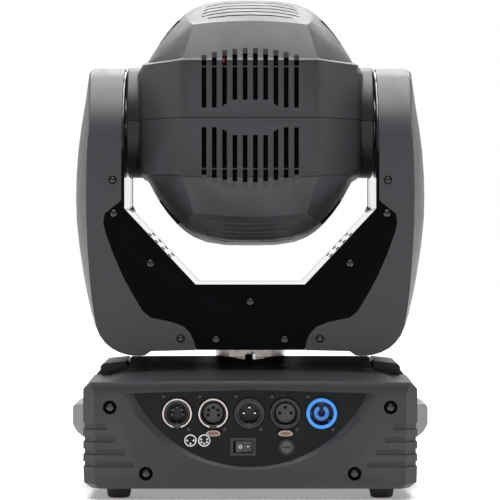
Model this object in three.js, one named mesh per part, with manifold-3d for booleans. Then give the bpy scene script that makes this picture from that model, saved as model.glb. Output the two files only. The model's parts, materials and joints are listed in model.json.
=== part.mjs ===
// Moving head light: a base with connector and control panels, a motorised yoke that pans on it, and a
// head that tilts between the yoke's arms. Millimetres, +Z up, +Y towards the lens at rest, connectors at -Y.
// Heights below are measured from the floor that the feet stand on. The exported group is then lowered by
// SEAT_HEIGHT, so that the origin is on the pan axis, on the bracket seat under the base.

import Module from 'manifold-3d';
import * as THREE from 'three';
import { ConvexGeometry } from 'three/addons/geometries/ConvexGeometry.js';
import { mergeVertices } from 'three/addons/utils/BufferGeometryUtils.js';

// ---------------------------------------------------------------- driving dimensions

const GAP = 0.3;                 // clearance between pieces that touch
const WALL = 3;                  // moulded cover thickness

const SEAT_HEIGHT = 7.4;         // bracket seats above the floor
const COVER_BOTTOM = 8.8;        // lower edge of the base covers
const BASE_DEPTH = 128;          // pan axis to an end cover's face
const BASE_SIDE = 131.7;         // pan axis to an end cover's side
const SEAM = 46;                 // pan axis to the joint between end and centre covers
const BASE_TOP = 106.5;          // plateau under the yoke
const PANEL_FACE = 124.6;        // pan axis to the outside of the connector and control panels
const PANEL_THICKNESS = 1.5;
const CONNECTOR_HEIGHT = 67.9;
const CONNECTOR_PITCH = 28.4;
const FIRST_CONNECTOR = -57.5;

const TILT_HEIGHT = 301;         // tilt axis above the floor
const ARM_INNER = 103.5;         // pan axis to the inside of an arm cover
const ARM_TOP = 346;
const ARM_HALF_DEPTH = 78;
const ARM_CROWN = 280;           // height where the rounded top of an arm begins
const SKIN = 1.2;                // folded sheet thickness
const SKIN_FACE = 102.1;         // pan axis to the inside of the upright skin
const FLOOR_TOP = 167.5;         // top of the skin under the head
const FLOOR_HALF = 43.9;         // half width of the level part of the skin
const COLLAR_RADIUS = 46;
const COLLAR_END = 101.3;
const HUB_RADIUS = 22.5;

const HEAD_BACK = 107;           // tilt axis to the back of the head
const HEAD_FRONT = 140;          // tilt axis to the front of the covers
const FRONT_RADIUS = 61;
const LENS_RADIUS = 54.6;

const PAN_PULLEY = 36;
const PAN_MOTOR_PULLEY = 9;
const PAN_MOTOR_Y = 75;
const TILT_PULLEY = 30;
const TILT_MOTOR_PULLEY = 8;
const TILT_MOTOR_HEIGHT = 160;

// ---------------------------------------------------------------- materials

const plastic = (color, roughness = 0.6) =>
  new THREE.MeshStandardMaterial({ color, roughness, metalness: 0 });
const metal = (color, roughness = 0.35) =>
  new THREE.MeshStandardMaterial({ color, roughness, metalness: 1 });

const COVER = plastic(0x444449);
const BLACK = plastic(0x0c0e11, 0.5);
const SKIN_PAINT = plastic(0x17181b, 0.35);
const HANDLE = plastic(0xa8a4a4, 0.5);
const RUBBER = plastic(0x141414, 0.9);
const BLUE = plastic(0x2f7fd6, 0.4);
const STEEL = metal(0x9a9a9c);
const ALUMINIUM = metal(0xd0ced0, 0.25);
const BELT = plastic(0x1a1a1a, 0.8);
const BOARD = plastic(0x1d5a34, 0.5);
const GLASS = plastic(0xbcd2dc, 0.05);
const SCREEN = plastic(0x203a66, 0.1);
const REFLECTOR = metal(0xd8dade, 0.1);

// ---------------------------------------------------------------- solids

const wasm = await Module();
wasm.setup();

// A closed manifold from a geometry, turned right side out if its triangles face inwards.
function solid(geometry) {
  geometry.deleteAttribute('normal');
  geometry.deleteAttribute('uv');
  const merged = mergeVertices(geometry, 1e-4);
  const at = merged.attributes.position.array;
  const triVerts = new Uint32Array(merged.index.array);
  const corner = (k) => new THREE.Vector3().fromArray(at, 3 * triVerts[k]);
  let volume = 0;
  for (let k = 0; k < triVerts.length; k += 3) {
    volume += corner(k).dot(corner(k + 1).cross(corner(k + 2)));
  }
  if (volume < 0) triVerts.reverse();
  return new wasm.Manifold(new wasm.Mesh({ numProp: 3, vertProperties: new Float32Array(at), triVerts }));
}

const join = (first, ...rest) => rest.reduce((sum, next) => sum.add(next), first);
const cut = (first, ...rest) => rest.reduce((left, next) => left.subtract(next), first);

const basis = (u, v, w) => new THREE.Matrix4().makeBasis(
  new THREE.Vector3(...u), new THREE.Vector3(...v), new THREE.Vector3(...w));

function extrude(outline, from, to) {
  const shape = new THREE.Shape(outline.map(([a, b]) => new THREE.Vector2(a, b)));
  const geometry = new THREE.ExtrudeGeometry(shape, { depth: to - from, bevelEnabled: false });
  return geometry.translate(0, 0, from);
}

// Prisms: an outline in (y, z), (x, z) or (x, y), carried along the remaining axis.
const alongX = (outline, from, to) =>
  solid(extrude(outline, from, to).applyMatrix4(basis([0, 1, 0], [0, 0, 1], [1, 0, 0])));
const alongY = (outline, from, to) =>
  solid(extrude(outline, -to, -from).applyMatrix4(basis([1, 0, 0], [0, 0, 1], [0, -1, 0])));
const alongZ = (outline, from, to) => solid(extrude(outline, from, to));

const box = (x0, x1, y0, y1, z0, z1) => alongZ([[x0, y0], [x1, y0], [x1, y1], [x0, y1]], z0, z1);
const hull = (points) => solid(new ConvexGeometry(points.map((p) => new THREE.Vector3(...p))));

// Solid from points and triangles.
function meshed(points, index) {
  const geometry = new THREE.BufferGeometry();
  geometry.setAttribute('position', new THREE.Float32BufferAttribute(points.flat(), 3));
  return solid(geometry.setIndex(index));
}

// Triangles between consecutive rings of points, each ring closed and of the same count.
function bands(rings, count) {
  const index = [];
  for (let i = 0; i < (rings - 1) * count; i += count) {
    for (let k = 0; k < count; k += 1) {
      const [a, b] = [i + k, i + ((k + 1) % count)];
      index.push(a, b, b + count, a, b + count, a + count);
    }
  }
  return index;
}

// Solids of revolution: a closed profile of [radius, distance along the axis].
const lathe = (profile, sides) =>
  new THREE.LatheGeometry([...profile, profile[0]].map(([r, d]) => new THREE.Vector2(r, d)), sides);
const turnedX = (profile, y, z, sides = 20) =>
  solid(lathe(profile, sides).rotateZ(-Math.PI / 2).translate(0, y, z));
const turnedY = (profile, x, z, sides = 20) => solid(lathe(profile, sides).translate(x, 0, z));
const turnedZ = (profile, x, y, sides = 20) =>
  solid(lathe(profile, sides).rotateX(Math.PI / 2).translate(x, y, 0));

// ---------------------------------------------------------------- outlines

const radians = THREE.MathUtils.degToRad;

function arc(x, y, radius, from, to, steps) {
  return Array.from({ length: steps + 1 }, (_, i) => {
    const angle = radians(from + ((to - from) * i) / steps);
    return [x + radius * Math.cos(angle), y + radius * Math.sin(angle)];
  });
}

const circle = (x, y, radius, steps = 20) => arc(x, y, radius, 0, 360 - 360 / steps, steps - 1);

const roundedBox = (x, y, width, height, radius, steps = 2) => {
  const [w, h] = [width / 2 - radius, height / 2 - radius];
  return [
    ...arc(x + w, y + h, radius, 0, 90, steps), ...arc(x - w, y + h, radius, 90, 180, steps),
    ...arc(x - w, y - h, radius, 180, 270, steps), ...arc(x + w, y - h, radius, 270, 360, steps),
  ];
};

const ordered = (a, b) => (a < b ? [a, b] : [b, a]);

// The whole of an outline that is the same on both sides, from its right half.
const mirrored = (half) => [...half, ...half.filter(([a]) => a > 0).map(([a, b]) => [-a, b]).reverse()];
const bothSides = (points) => points.flatMap(([x, y, z]) => [[x, y, z], [-x, y, z]]);

// An outline moved outwards by a distance (inwards if negative); the outline runs anticlockwise.
function offset(outline, distance) {
  const count = outline.length;
  return outline.map((point, i) => {
    const before = new THREE.Vector2(...outline[(i + count - 1) % count]);
    const here = new THREE.Vector2(...point);
    const after = new THREE.Vector2(...outline[(i + 1) % count]);
    const first = here.clone().sub(before).normalize();
    const second = after.sub(here).normalize();
    const normal = new THREE.Vector2(first.y + second.y, -first.x - second.x).normalize();
    const stretch = distance / Math.max(0.5, normal.dot(new THREE.Vector2(first.y, -first.x)));
    return [here.x + normal.x * stretch, here.y + normal.y * stretch];
  });
}

// ---------------------------------------------------------------- assembly list

const fixture = new THREE.Group();
fixture.position.z = -SEAT_HEIGHT;

function part(name, material, shape) {
  const mesh = shape.getMesh();
  const geometry = new THREE.BufferGeometry();
  geometry.setAttribute('position', new THREE.BufferAttribute(mesh.vertProperties, 3));
  geometry.setIndex(new THREE.BufferAttribute(mesh.triVerts, 1));
  const node = new THREE.Mesh(geometry, material);
  node.name = name;
  fixture.add(node);
}

// ---------------------------------------------------------------- base: covers and plate

// Sheet steel bottom with three flat seats pressed down for clamps and brackets.
function basePlate() {
  const underside = SEAT_HEIGHT + 1;
  const outline = [[117, -115], [117, -SEAM - 2], [101.5, -SEAM - 2], [101.5, SEAM + 2], [117, SEAM + 2],
    [117, 115]];
  const sheet = alongZ(mirroredAcrossX(outline), underside, underside + 2);
  const seat = (y, width, depth) =>
    box(-width / 2, width / 2, y - depth / 2, y + depth / 2, SEAT_HEIGHT, underside + 1);
  return join(sheet, seat(0, 60, 60), seat(-78, 120, 30), seat(78, 120, 30));
}

const mirroredAcrossX = (right) => [...right, ...right.map(([x, y]) => [-x, y]).reverse()];

// Main volume of an end cover. "out" is the distance from the pan axis along Y, on the given side.
function endCoverBody(side, inset) {
  const half = [
    [118, BASE_DEPTH - 1, COVER_BOTTOM], [125, 119, COVER_BOTTOM], [125, SEAM, COVER_BOTTOM],
    [121.5, BASE_DEPTH, 12], [131, 119, 13.2], [131, SEAM, 13.2],
    [122.5, BASE_DEPTH, 28], [BASE_SIDE, 119, 28], [BASE_SIDE, SEAM, 28],
    [122.5, BASE_DEPTH, 82.9], [89, BASE_DEPTH, 84.6], [0, BASE_DEPTH, 86.8],
    [BASE_SIDE, 119, 86.8], [BASE_SIDE, SEAM, 88],
    [125.3, 124, 92.2], [0, 124, 93.3], [127, SEAM, 93.8], [0, SEAM, 94.8],
  ];
  return hull(bothSides(half.map((point) => shrunk(point, inset, side))));
}

// Crowned ramp that rises from the end cover's top edge towards the pan ring.
function endCoverRamp(side, inset) {
  const half = [
    [0, 124, 93.3], [60, 124, 93.1], [89, 124, 92.8], [112, 120, 92.2], [89, 118, 88], [112, SEAM, 88],
    [0, SEAM, 101.9], [40, SEAM, 101.6], [75, SEAM, 100.7], [99, SEAM, 99.2], [113, SEAM, 94.6],
  ];
  return hull(bothSides(half.map((point) => shrunk(point, inset, side))));
}

// A cover's corner moved inwards for its hollow, but outwards where the hollow is open: seam and bottom.
function shrunk([x, out, height], inset, side) {
  const hollow = inset > 0;
  const y = hollow && out === SEAM ? out - 1 : out - inset;
  const z = hollow && height === COVER_BOTTOM ? height - 1 : height - inset;
  return [Math.max(0, x - inset), side * y, z];
}

// Opening over the panel: an arc below, the cover's front lip above.
const archOutline = (radius, centre, reach, shoulder, lip) => {
  const start = Math.asin((shoulder - centre) / radius);
  const sweep = arc(0, centre, radius, THREE.MathUtils.radToDeg(start), -90, 10);
  return mirrored([[0, lip], [reach, shoulder], ...sweep.slice(1)].reverse()).reverse();
};

const PANEL_BACK = PANEL_FACE - PANEL_THICKNESS;
const PANEL_OUTLINE = mirrored([[0, 22], [45, 31], [78, 50], [95, 80], [93, 86], [0, 88]]);
const INNER_ARCH = archOutline(97.5, 124, 89, 84.2, 86.4);
const OUTER_ARCH = archOutline(115.7, 139.2, 101.2, 83.8, 86.6);

function endCover(side) {
  const face = side * BASE_DEPTH;
  const outer = join(endCoverBody(side, 0), endCoverRamp(side, 0));
  const hollow = join(endCoverBody(side, WALL), endCoverRamp(side, WALL));
  const inside = side * (BASE_DEPTH - WALL);
  const rim = (outline, y) => outline.map(([x, z]) => [x, y, z]);
  const bevel = hull([...rim(OUTER_ARCH, face + side), ...rim(OUTER_ARCH, face),
    ...rim(INNER_ARCH, inside), ...rim(INNER_ARCH, inside - side)]);
  const rebate = alongY(offset(PANEL_OUTLINE, GAP), ...ordered(side * (PANEL_FACE + GAP), side * 118));
  return cut(outer, hollow, bevel, rebate, ...cornerGrooves(side), ...screwWells(side));
}

// Grip grooves that wrap each lower corner, longer towards the bottom.
function cornerGrooves(side) {
  const depth = 1.1;
  const grooves = [[60.3, 55.2, 112.7], [49.7, 45.2, 105.8], [39.7, 35.2, 98.6], [29.8, 25.7, 91.7]];
  return grooves.flatMap(([top, bottom, reach]) => [-1, 1].map((flank) => {
    const block = box(...ordered(flank * reach, flank * 140), ...ordered(side * 70, side * 140), bottom, top);
    return cut(block, endCoverBody(side, depth));
  }));
}

function screwWells(side) {
  const wells = [[110.2, 72.7], [-110.2, 72.7], [81.9, 20.7], [-81.9, 20.7]];
  const reach = ordered(side * (BASE_DEPTH - 2), side * (BASE_DEPTH + 1));
  return wells.map(([x, z]) => alongY(circle(x, z, 5.5, 20), ...reach));
}

// Centre cover: shoulders, crowned ramp top, and a pocket for fingers behind each handle.
const POCKET = { wall: 106, half: 34, top: 86 };

function centreCover() {
  const end = SEAM - GAP;
  const shoulder = [[124.5, COVER_BOTTOM], [128, 13], [128, 84], [122.4, 88], [122.4, 100.6], [120.2, 102.9],
    [102.5, 104.6], [100, 99], [100, 40], [96, 40], [96, COVER_BOTTOM]];
  const flank = (sign) => alongY(shoulder.map(([x, z]) => [sign * x, z]), -end, end);
  const crown = [[0, 101.9, 0], [40, 101.6, 0], [75, 100.7, 0.1], [99, 99.2, 0.3]];
  const roof = hull(bothSides([
    ...crown.flatMap(([x, low]) => [[x, -end, low], [x, end, low]]),
    ...crown.flatMap(([x, , drop]) => [[x, -8, BASE_TOP - drop], [x, 8, BASE_TOP - drop]]),
    [101, -end, 60], [101, end, 60], [101, -end, 97], [101, end, 97], [101, -8, 104], [101, 8, 104],
  ]));
  const outer = join(roof, flank(1), flank(-1));
  const lane = POCKET.wall - WALL;
  const cavity = [
    box(-lane, lane, -SEAM - 1, SEAM + 1, 0, 95.6),
    box(-lane, lane, -28, 28, 95, 102.4),
  ];
  const sideCuts = [-1, 1].flatMap((sign) => {
    const span = (a, b) => ordered(sign * a, sign * b);
    return [
      box(...span(POCKET.wall, 140), -POCKET.half, POCKET.half, 0, POCKET.top),
      box(...span(lane - 1, 125), -SEAM - 1, -POCKET.half - WALL, 0, 89),
      box(...span(lane - 1, 125), POCKET.half + WALL, SEAM + 1, 0, 89),
      box(...span(lane - 1, 119.4), -SEAM - 1, SEAM + 1, POCKET.top + WALL, 92),
    ];
  });
  const panHole = alongZ(circle(0, 0, 21, 40), 90, 120);
  return cut(outer, ...cavity, ...sideCuts, panHole);
}

// Bow handle along one side of the base.
function handle(sign) {
  const outer = [[128 + GAP, -44], [136, -44], [146, -34], [146, 34], [136, 44], [128 + GAP, 44],
    [128 + GAP, 35], [133, 35], [137, 31], [137, -31], [133, -35], [128 + GAP, -35]];
  const plan = alongZ(outer.map(([x, y]) => [sign * x, y]), 40, 80);
  const section = [[126, 42], [136, 42], [142.5, 46.5], [147, 54], [147, 65.5], [144, 69], [126, 70.5]];
  return plan.intersect(alongY(section.map(([x, z]) => [sign * x, z]), -50, 50));
}

const foot = (x, y) => turnedZ([[0, 0], [9, 0], [10, 1.5], [10, SEAT_HEIGHT + 0.7], [0, SEAT_HEIGHT + 0.7]],
  x, y, 16);

part('base_plate', STEEL, basePlate());
part('rear_end_cover', COVER, endCover(-1));
part('front_end_cover', COVER, endCover(1));
part('centre_cover', COVER, centreCover());
part('handle_left', HANDLE, handle(-1));
part('handle_right', HANDLE, handle(1));
[[-104.2, -104], [104.2, -104], [104.2, 104], [-104.2, 104]].forEach(([x, y], i) => {
  part(`foot_${i + 1}`, RUBBER, foot(x, y));
});

// ---------------------------------------------------------------- base: connector panel

const connectorX = (index) => FIRST_CONNECTOR + index * CONNECTOR_PITCH;
const SWITCH = { x: -5.7, z: 41.6, width: 20.4, height: 14.4 };
const FUSE = { x: 28.6, z: 41.3 };
const CONNECTOR_RADIUS = 12.2;

function connectorPanel() {
  const plate = alongY(PANEL_OUTLINE, -PANEL_FACE, -PANEL_BACK);
  const bores = [0, 1, 2, 3, 4].map((i) =>
    alongY(circle(connectorX(i), CONNECTOR_HEIGHT, CONNECTOR_RADIUS + GAP, 24), -130, -120));
  const tabs = [1, 3].map((i) => alongY(tabOutline(i, GAP), -130, -120));
  return cut(plate, ...bores, ...tabs,
    alongY(roundedBox(SWITCH.x, SWITCH.z, 17.6, 12, 1), -130, -120),
    alongY(circle(FUSE.x, FUSE.z, 5.9), -130, -120));
}

// Round connector shell with a bore, and an insert face left at the bottom of it.
function connectorShell(index, boreRadius, depth, front) {
  const x = connectorX(index);
  const back = -100;
  const body = turnedY([[0, front], [CONNECTOR_RADIUS, front], [CONNECTOR_RADIUS, back], [0, back]],
    x, CONNECTOR_HEIGHT, 24);
  const bore = alongY(circle(x, CONNECTOR_HEIGHT, boreRadius, 24), front - 1, front + depth);
  return cut(body, bore);
}

// Contact positions on the usual circle, starting beside the keyway at the given angle.
const contacts = (index, count, spread, first) => Array.from({ length: count }, (_, i) => {
  const angle = radians(first + i * spread);
  return [connectorX(index) + 5 * Math.cos(angle), CONNECTOR_HEIGHT + 5 * Math.sin(angle)];
});

function maleConnector(index, count, spread, first) {
  const [front, depth] = [-126.2, 13];
  const pins = contacts(index, count, spread, first).map(([x, z]) =>
    alongY(circle(x, z, 1.2, 6), front + depth - 7, front + depth + 1));
  return join(connectorShell(index, 9.6, depth, front), ...pins);
}

function femaleConnector(index, count, spread, first) {
  const [front, depth] = [-126.2, 5.4];
  const holes = contacts(index, count, spread, first).map(([x, z]) =>
    alongY(circle(x, z, 1.4, 6), front + depth - 1, front + depth + 6));
  return cut(connectorShell(index, 9.6, depth, front), ...holes);
}

// Locking mains inlet: a ring with a round core set back inside it.
function powerInlet() {
  const [index, front, depth] = [4, -127.4, 14];
  const core = alongY(circle(connectorX(index), CONNECTOR_HEIGHT, 6.2, 16), front + 5.6, front + depth + 1);
  return join(connectorShell(index, 9.4, depth, front), core);
}

// Release tab under a female connector.
function tabOutline(index, grow) {
  const [x, top, bottom] = [connectorX(index), CONNECTOR_HEIGHT - 13.4 + grow, 49.8 - grow];
  return [[x - 5.8 - grow, top], [x - 3.8 - grow, bottom], [x + 3.8 + grow, bottom], [x + 5.8 + grow, top]];
}

const latchTab = (index) => alongY(tabOutline(index, 0), -127, -121);

function switchBezel() {
  const { x, z, width, height } = SWITCH;
  const flange = alongY(roundedBox(x, z, width, height, 1), -PANEL_FACE - 1.2, -PANEL_FACE - GAP);
  const sleeve = alongY(roundedBox(x, z, 17, 11.4, 0.8), -PANEL_FACE - 1, -108);
  const well = alongY(roundedBox(x, z, 15, 9.8, 0.6), -130, -110);
  return cut(join(flange, sleeve), well);
}

// Rocker that turns about a vertical pivot; at rest its right half is pressed in.
function powerRocker() {
  const { x, z } = SWITCH;
  const pivot = -PANEL_FACE + 4;
  const profile = [[-6.6, -4.6], [0, -3.6], [6.6, -4.6], [6.1, 1.5], [0, 5], [-6.1, 1.5]];
  const tip = radians(11);
  const turned = profile.map(([a, b]) => [
    x + a * Math.cos(tip) - b * Math.sin(tip), pivot + a * Math.sin(tip) + b * Math.cos(tip)]);
  return alongZ(turned, z - 4.5, z + 4.5);
}

const fuseHolder = () => {
  const rim = -PANEL_FACE - 1.6;
  return turnedY([[5.5, rim], [6.45, rim], [6.45, -PANEL_FACE - GAP], [5.6, -PANEL_FACE - GAP], [5.6, -100],
    [0, -100], [0, -103], [5.5, -103]], FUSE.x, FUSE.z);
};

// Fuse cap with a screwdriver slot.
const fuseCap = () => cut(
  turnedY([[0, -126.6], [4.9, -126.6], [5.2, -126.2], [5.2, -112], [0, -112]], FUSE.x, FUSE.z),
  box(FUSE.x - 4, FUSE.x + 4, -128, -125.6, FUSE.z - 0.6, FUSE.z + 0.6));

part('connector_panel', BLACK, connectorPanel());
part('five_pin_male', STEEL, maleConnector(0, 5, 52, -14));
part('five_pin_female', STEEL, femaleConnector(1, 5, 52, -14));
part('three_pin_male', BLACK, maleConnector(2, 3, 90, 180));
part('three_pin_female', BLACK, femaleConnector(3, 3, 90, 180));
part('power_inlet', BLUE, powerInlet());
part('five_pin_latch_tab', STEEL, latchTab(1));
part('three_pin_latch_tab', STEEL, latchTab(3));
part('switch_bezel', BLACK, switchBezel());
part('power_rocker', BLACK, powerRocker());
part('fuse_holder', BLACK, fuseHolder());
part('fuse_cap', BLACK, fuseCap());

// ---------------------------------------------------------------- base: control panel

const DISPLAY = { x: 0, z: 64, width: 66, height: 24 };
const BUTTON_X = [-27, -9, 9, 27];
const BUTTON_Z = 41;

function controlPanel() {
  const plate = alongY(PANEL_OUTLINE, PANEL_BACK, PANEL_FACE);
  const window = alongY(roundedBox(DISPLAY.x, DISPLAY.z, DISPLAY.width, DISPLAY.height, 2), 110, 130);
  return cut(plate, window, ...BUTTON_X.map((x) => alongY(circle(x, BUTTON_Z, 4.8, 16), 110, 130)));
}

const displayScreen = () => alongY(roundedBox(DISPLAY.x, DISPLAY.z, DISPLAY.width - 2 * GAP,
  DISPLAY.height - 2 * GAP, 1.7), PANEL_BACK - 3, PANEL_FACE - 0.4);

const menuButton = (x) => turnedY([[0, 118], [4.4, 118], [4.4, PANEL_FACE + 1.6], [3.8, PANEL_FACE + 2.2],
  [0, PANEL_FACE + 2.2]], x, BUTTON_Z, 16);

part('control_panel', BLACK, controlPanel());
part('display_screen', SCREEN, displayScreen());
BUTTON_X.forEach((x, i) => part(`menu_button_${i + 1}`, BLACK, menuButton(x)));

// ---------------------------------------------------------------- base: works

// A belt as a rigid loop round two pulleys: tangent lines and arcs in the plane of the pulleys.
function beltLoop(from, fromRadius, to, toRadius, distance) {
  const lean = THREE.MathUtils.radToDeg(Math.acos((fromRadius - toRadius) / distance));
  const loop = (grow) => [
    ...arc(from, 0, fromRadius + grow, lean, 360 - lean, 16),
    ...arc(to, 0, toRadius + grow, -lean, lean, 6),
  ];
  return [loop(2), loop(0.4)];
}

function panBelt() {
  const [outer, inner] = beltLoop(0, PAN_PULLEY, PAN_MOTOR_Y, PAN_MOTOR_PULLEY, PAN_MOTOR_Y);
  const turned = (loop) => loop.map(([a, b]) => [-b, a]);
  return cut(alongZ(turned(outer), 85, 91), alongZ(turned(inner), 84, 92));
}

const motor = (square, length) => alongZ(roundedBox(0, 0, square, square, 4, 3), 0, length);

part('pan_motor', BLACK, motor(42, 40).translate([0, PAN_MOTOR_Y, 40]));
part('pan_motor_pulley', ALUMINIUM, turnedZ([[0, 80 + GAP], [3, 80 + GAP], [3, 84], [PAN_MOTOR_PULLEY, 84],
  [PAN_MOTOR_PULLEY, 92], [0, 92]], 0, PAN_MOTOR_Y, 16));
part('pan_belt', BELT, panBelt());
part('pan_bearing', STEEL, turnedZ([[20.4, 95.9], [26, 95.9], [26, 102], [20.4, 102]], 0, 0, 24));
part('power_supply', STEEL, box(-98, -30, -92, 36, 14, 62));
part('control_board', BOARD, box(-60, 60, 108, 110, 22, 82));
part('pan_lock_slider', BLACK,
  join(box(-4.4, 4.4, -41, -32.5, 105.2, 109.4), box(2.2, 4.2, -42, -40, 106, 111)));

// ---------------------------------------------------------------- yoke

// Edge between the black plate and an arm cover, from the bottom of the yoke up to the arm.
const PLATE_EDGE = [[43.9, 116.5], [44.9, 122.2], [48, 129.3], [53.1, 134.5], [62.4, 138.1], [71.6, 140.1],
  [79.8, 141.7], [86, 146.8], [95.2, 162.2], [102.3, 175.5], [109.5, 191.9], [115.8, 209.5], [117.7, 217.5],
  [116.7, 224.7], [103.3, 235.5]];

// Outside of an arm cover from its top round to the bottom: x at the face, height, bulge at mid depth.
const ARM_EDGE = [[129.4, 343.2, 3.6], [129.8, 319, 6.6], [131, 284, 11], [132, 247, 12.6],
  [131.6, 215, 12.2], [129, 172, 8.6], [125.8, 145, 6], [122, 129, 3.5], [114, 118.6, 2], [103.5, 112.8, 1],
  [92.5, 110.6, 0], [84.6, 111, 0]];

const PLATE_HALF = [[0, 115.4], [43.9, 115.4], ...PLATE_EDGE, [103.3, 276], [101.2, 276],
  [101.2, 229.2], [FLOOR_HALF, FLOOR_TOP + 0.6], [0, FLOOR_TOP + 0.6]];

function yokePlate(from, to) {
  return alongY(mirrored(PLATE_HALF), from, to);
}

// Closed anticlockwise ring of [x, height, bulge] round an arm cover, or round the hollow inside it.
function armRing(inset) {
  const curve = new THREE.CatmullRomCurve3(ARM_EDGE.map((p) => new THREE.Vector3(...p)), false, 'centripetal');
  const edge = curve.getPoints(inset > 0 ? 10 : 20);
  const side = [...edge.map((p) => [p.x, p.y]), [79.8, 114.4], [44.2, 115.2], [44.2, 340]];
  const moved = offset(side.reverse(), -inset).reverse();
  const outer = edge.map((p, i) => [...moved[i], Math.max(0, p.z)]);
  const bottom = moved[edge.length + 1][1];
  const [left, open, top] = inset > 0 ? [40, ARM_INNER - 4, moved[0][1]] : [44.2, ARM_INNER, ARM_TOP];
  const corner = inset > 0 ? [] : [[126.4, top, 2.6], [128.4, top - 0.7, 2.8]];
  return [...corner, ...outer, [...moved[edge.length], 0], [left, bottom, 0], [left, 160, 0], [open, 226, 0],
    [open, top, 0]].reverse();
}

// Arm cover volume: rings across the depth, bulged at mid depth and crowned at the top.
function armLoft(sign, inset) {
  const half = ARM_HALF_DEPTH - inset;
  const ring = armRing(inset);
  const stations = inset > 0 ? 6 : 12;
  const points = [];
  for (let i = 0; i <= stations; i += 1) {
    const angle = -Math.PI / 2 + (Math.PI * i) / stations;
    const swell = 1 - Math.sin(angle) ** 2;
    for (const [x, z, bulge] of ring) {
      const height = z > ARM_CROWN ? ARM_CROWN + (z - ARM_CROWN) * Math.cos(angle) : z;
      points.push([sign * (x + bulge * swell), half * Math.sin(angle), height]);
    }
  }
  const last = stations * ring.length;
  const cap = THREE.ShapeUtils.triangulateShape(ring.map(([x, z]) => new THREE.Vector2(x, z)), []);
  const caps = cap.flatMap(([a, b, c]) => [a, c, b, last + a, last + b, last + c]);
  return meshed(points, [...bands(stations + 1, ring.length), ...caps]);
}

function armCover(sign) {
  const plate = alongY(offset(mirrored(PLATE_HALF), 0.4), -90, 90);
  const hubSide = sign > 0 ? [98, ARM_INNER] : [-ARM_INNER, -98];
  const sliver = box(...hubSide, -90, 90, 200, 360);
  return cut(armLoft(sign, 0), armLoft(sign, WALL), plate, sliver);
}

// Side view of an arm, for cutting the skin to the same crown.
function armProfile(inset) {
  const half = ARM_HALF_DEPTH - inset;
  const rise = ARM_TOP - ARM_CROWN - inset;
  const crown = arc(0, 0, 1, 0, 180, 12).map(([a, b]) => [half * a, ARM_CROWN + rise * b]);
  return [[-half, 100], [half, 100], ...crown];
}

// Folded sheet between the arms: two uprights, two slopes and the level floor under the head.
function innerSkin() {
  const half = [[0, FLOOR_TOP], [FLOOR_HALF, FLOOR_TOP], [SKIN_FACE, 229.6], [SKIN_FACE, 350],
    [SKIN_FACE + SKIN, 350], [SKIN_FACE + SKIN, 229.1], [FLOOR_HALF + 0.5, FLOOR_TOP - SKIN],
    [0, FLOOR_TOP - SKIN]];
  const sheet = alongY(mirrored(half.reverse()), -75.9, 75.9).intersect(alongX(armProfile(1.5), -120, 120));
  return cut(sheet, alongX(circle(0, TILT_HEIGHT, HUB_RADIUS + 1.5, 24), -120, 120), ...skinSlots());
}

// Short cable slots in the slopes: four rows of two on each side.
function skinSlots() {
  const slope = (229.6 - FLOOR_TOP) / (SKIN_FACE - FLOOR_HALF);
  const lean = Math.atan(slope);
  const [along, across] = [1.6, 3];
  const corners = [[-along, -across], [along, -across], [along, across], [-along, across]];
  return [-1, 1].flatMap((sign) => [66, 71.4, 76.7, 82].flatMap((x) => {
    const middle = FLOOR_TOP + (x - FLOOR_HALF) * slope;
    const outline = corners.map(([a, b]) => [
      sign * (x + a * Math.cos(lean) - b * Math.sin(lean)), middle + a * Math.sin(lean) + b * Math.cos(lean)]);
    return [alongY(outline, -55, -22), alongY(outline, 22, 55)];
  }));
}

function tiltHub(sign, end, pulley) {
  const profile = [[14, 82.3], [30, 82.3], [30, 85], [HUB_RADIUS, 85], [HUB_RADIUS, pulley ? 115 : end],
    ...(pulley ? [[TILT_PULLEY, 115], [TILT_PULLEY, end]] : []), [14, end]];
  return turnedX(profile.map(([r, x]) => [r, sign * x]), 0, TILT_HEIGHT, 18);
}

const tiltBearing = (sign) => turnedX(
  [[HUB_RADIUS + 0.4, 104.2], [31, 104.2], [31, 112], [HUB_RADIUS + 0.4, 112]].map(([r, x]) => [r, sign * x]),
  0, TILT_HEIGHT, 18);

function tiltBelt() {
  const distance = TILT_HEIGHT - TILT_MOTOR_HEIGHT;
  const [outer, inner] = beltLoop(0, TILT_PULLEY, distance, TILT_MOTOR_PULLEY, distance);
  const hung = (loop) => loop.map(([a, b]) => [b, TILT_HEIGHT - a]);
  return cut(alongX(hung(outer), 116, 122), alongX(hung(inner), 115, 123));
}

part('pan_hub', ALUMINIUM, turnedZ([[12, 84], [PAN_PULLEY, 84], [PAN_PULLEY, 92], [20, 92], [20, 106.9],
  [29, 106.9], [29, 118.7], [12, 118.7]], 0, 0, 28));
part('yoke_floor', STEEL, cut(box(-75, 75, -72, 72, 119, 122), alongZ(circle(0, 0, 12, 16), 110, 130)));
part('yoke_rear_plate', BLACK, yokePlate(-ARM_HALF_DEPTH, -ARM_HALF_DEPTH + 1.8));
part('yoke_front_plate', BLACK, yokePlate(ARM_HALF_DEPTH - 1.8, ARM_HALF_DEPTH));
part('yoke_inner_skin', SKIN_PAINT, innerSkin());
part('arm_cover_left', COVER, armCover(-1));
part('arm_cover_right', COVER, armCover(1));
part('tilt_bearing_left', STEEL, tiltBearing(-1));
part('tilt_bearing_right', STEEL, tiltBearing(1));
part('tilt_motor', BLACK, alongX(roundedBox(0, TILT_MOTOR_HEIGHT, 42, 42, 4, 3), 74, 113));
part('tilt_motor_pulley', ALUMINIUM, turnedX([[0, 113 + GAP], [3, 113 + GAP], [3, 115.5],
  [TILT_MOTOR_PULLEY, 115.5], [TILT_MOTOR_PULLEY, 122.5], [0, 122.5]], 0, TILT_MOTOR_HEIGHT, 16));
part('tilt_belt', BELT, tiltBelt());

// ---------------------------------------------------------------- head

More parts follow.
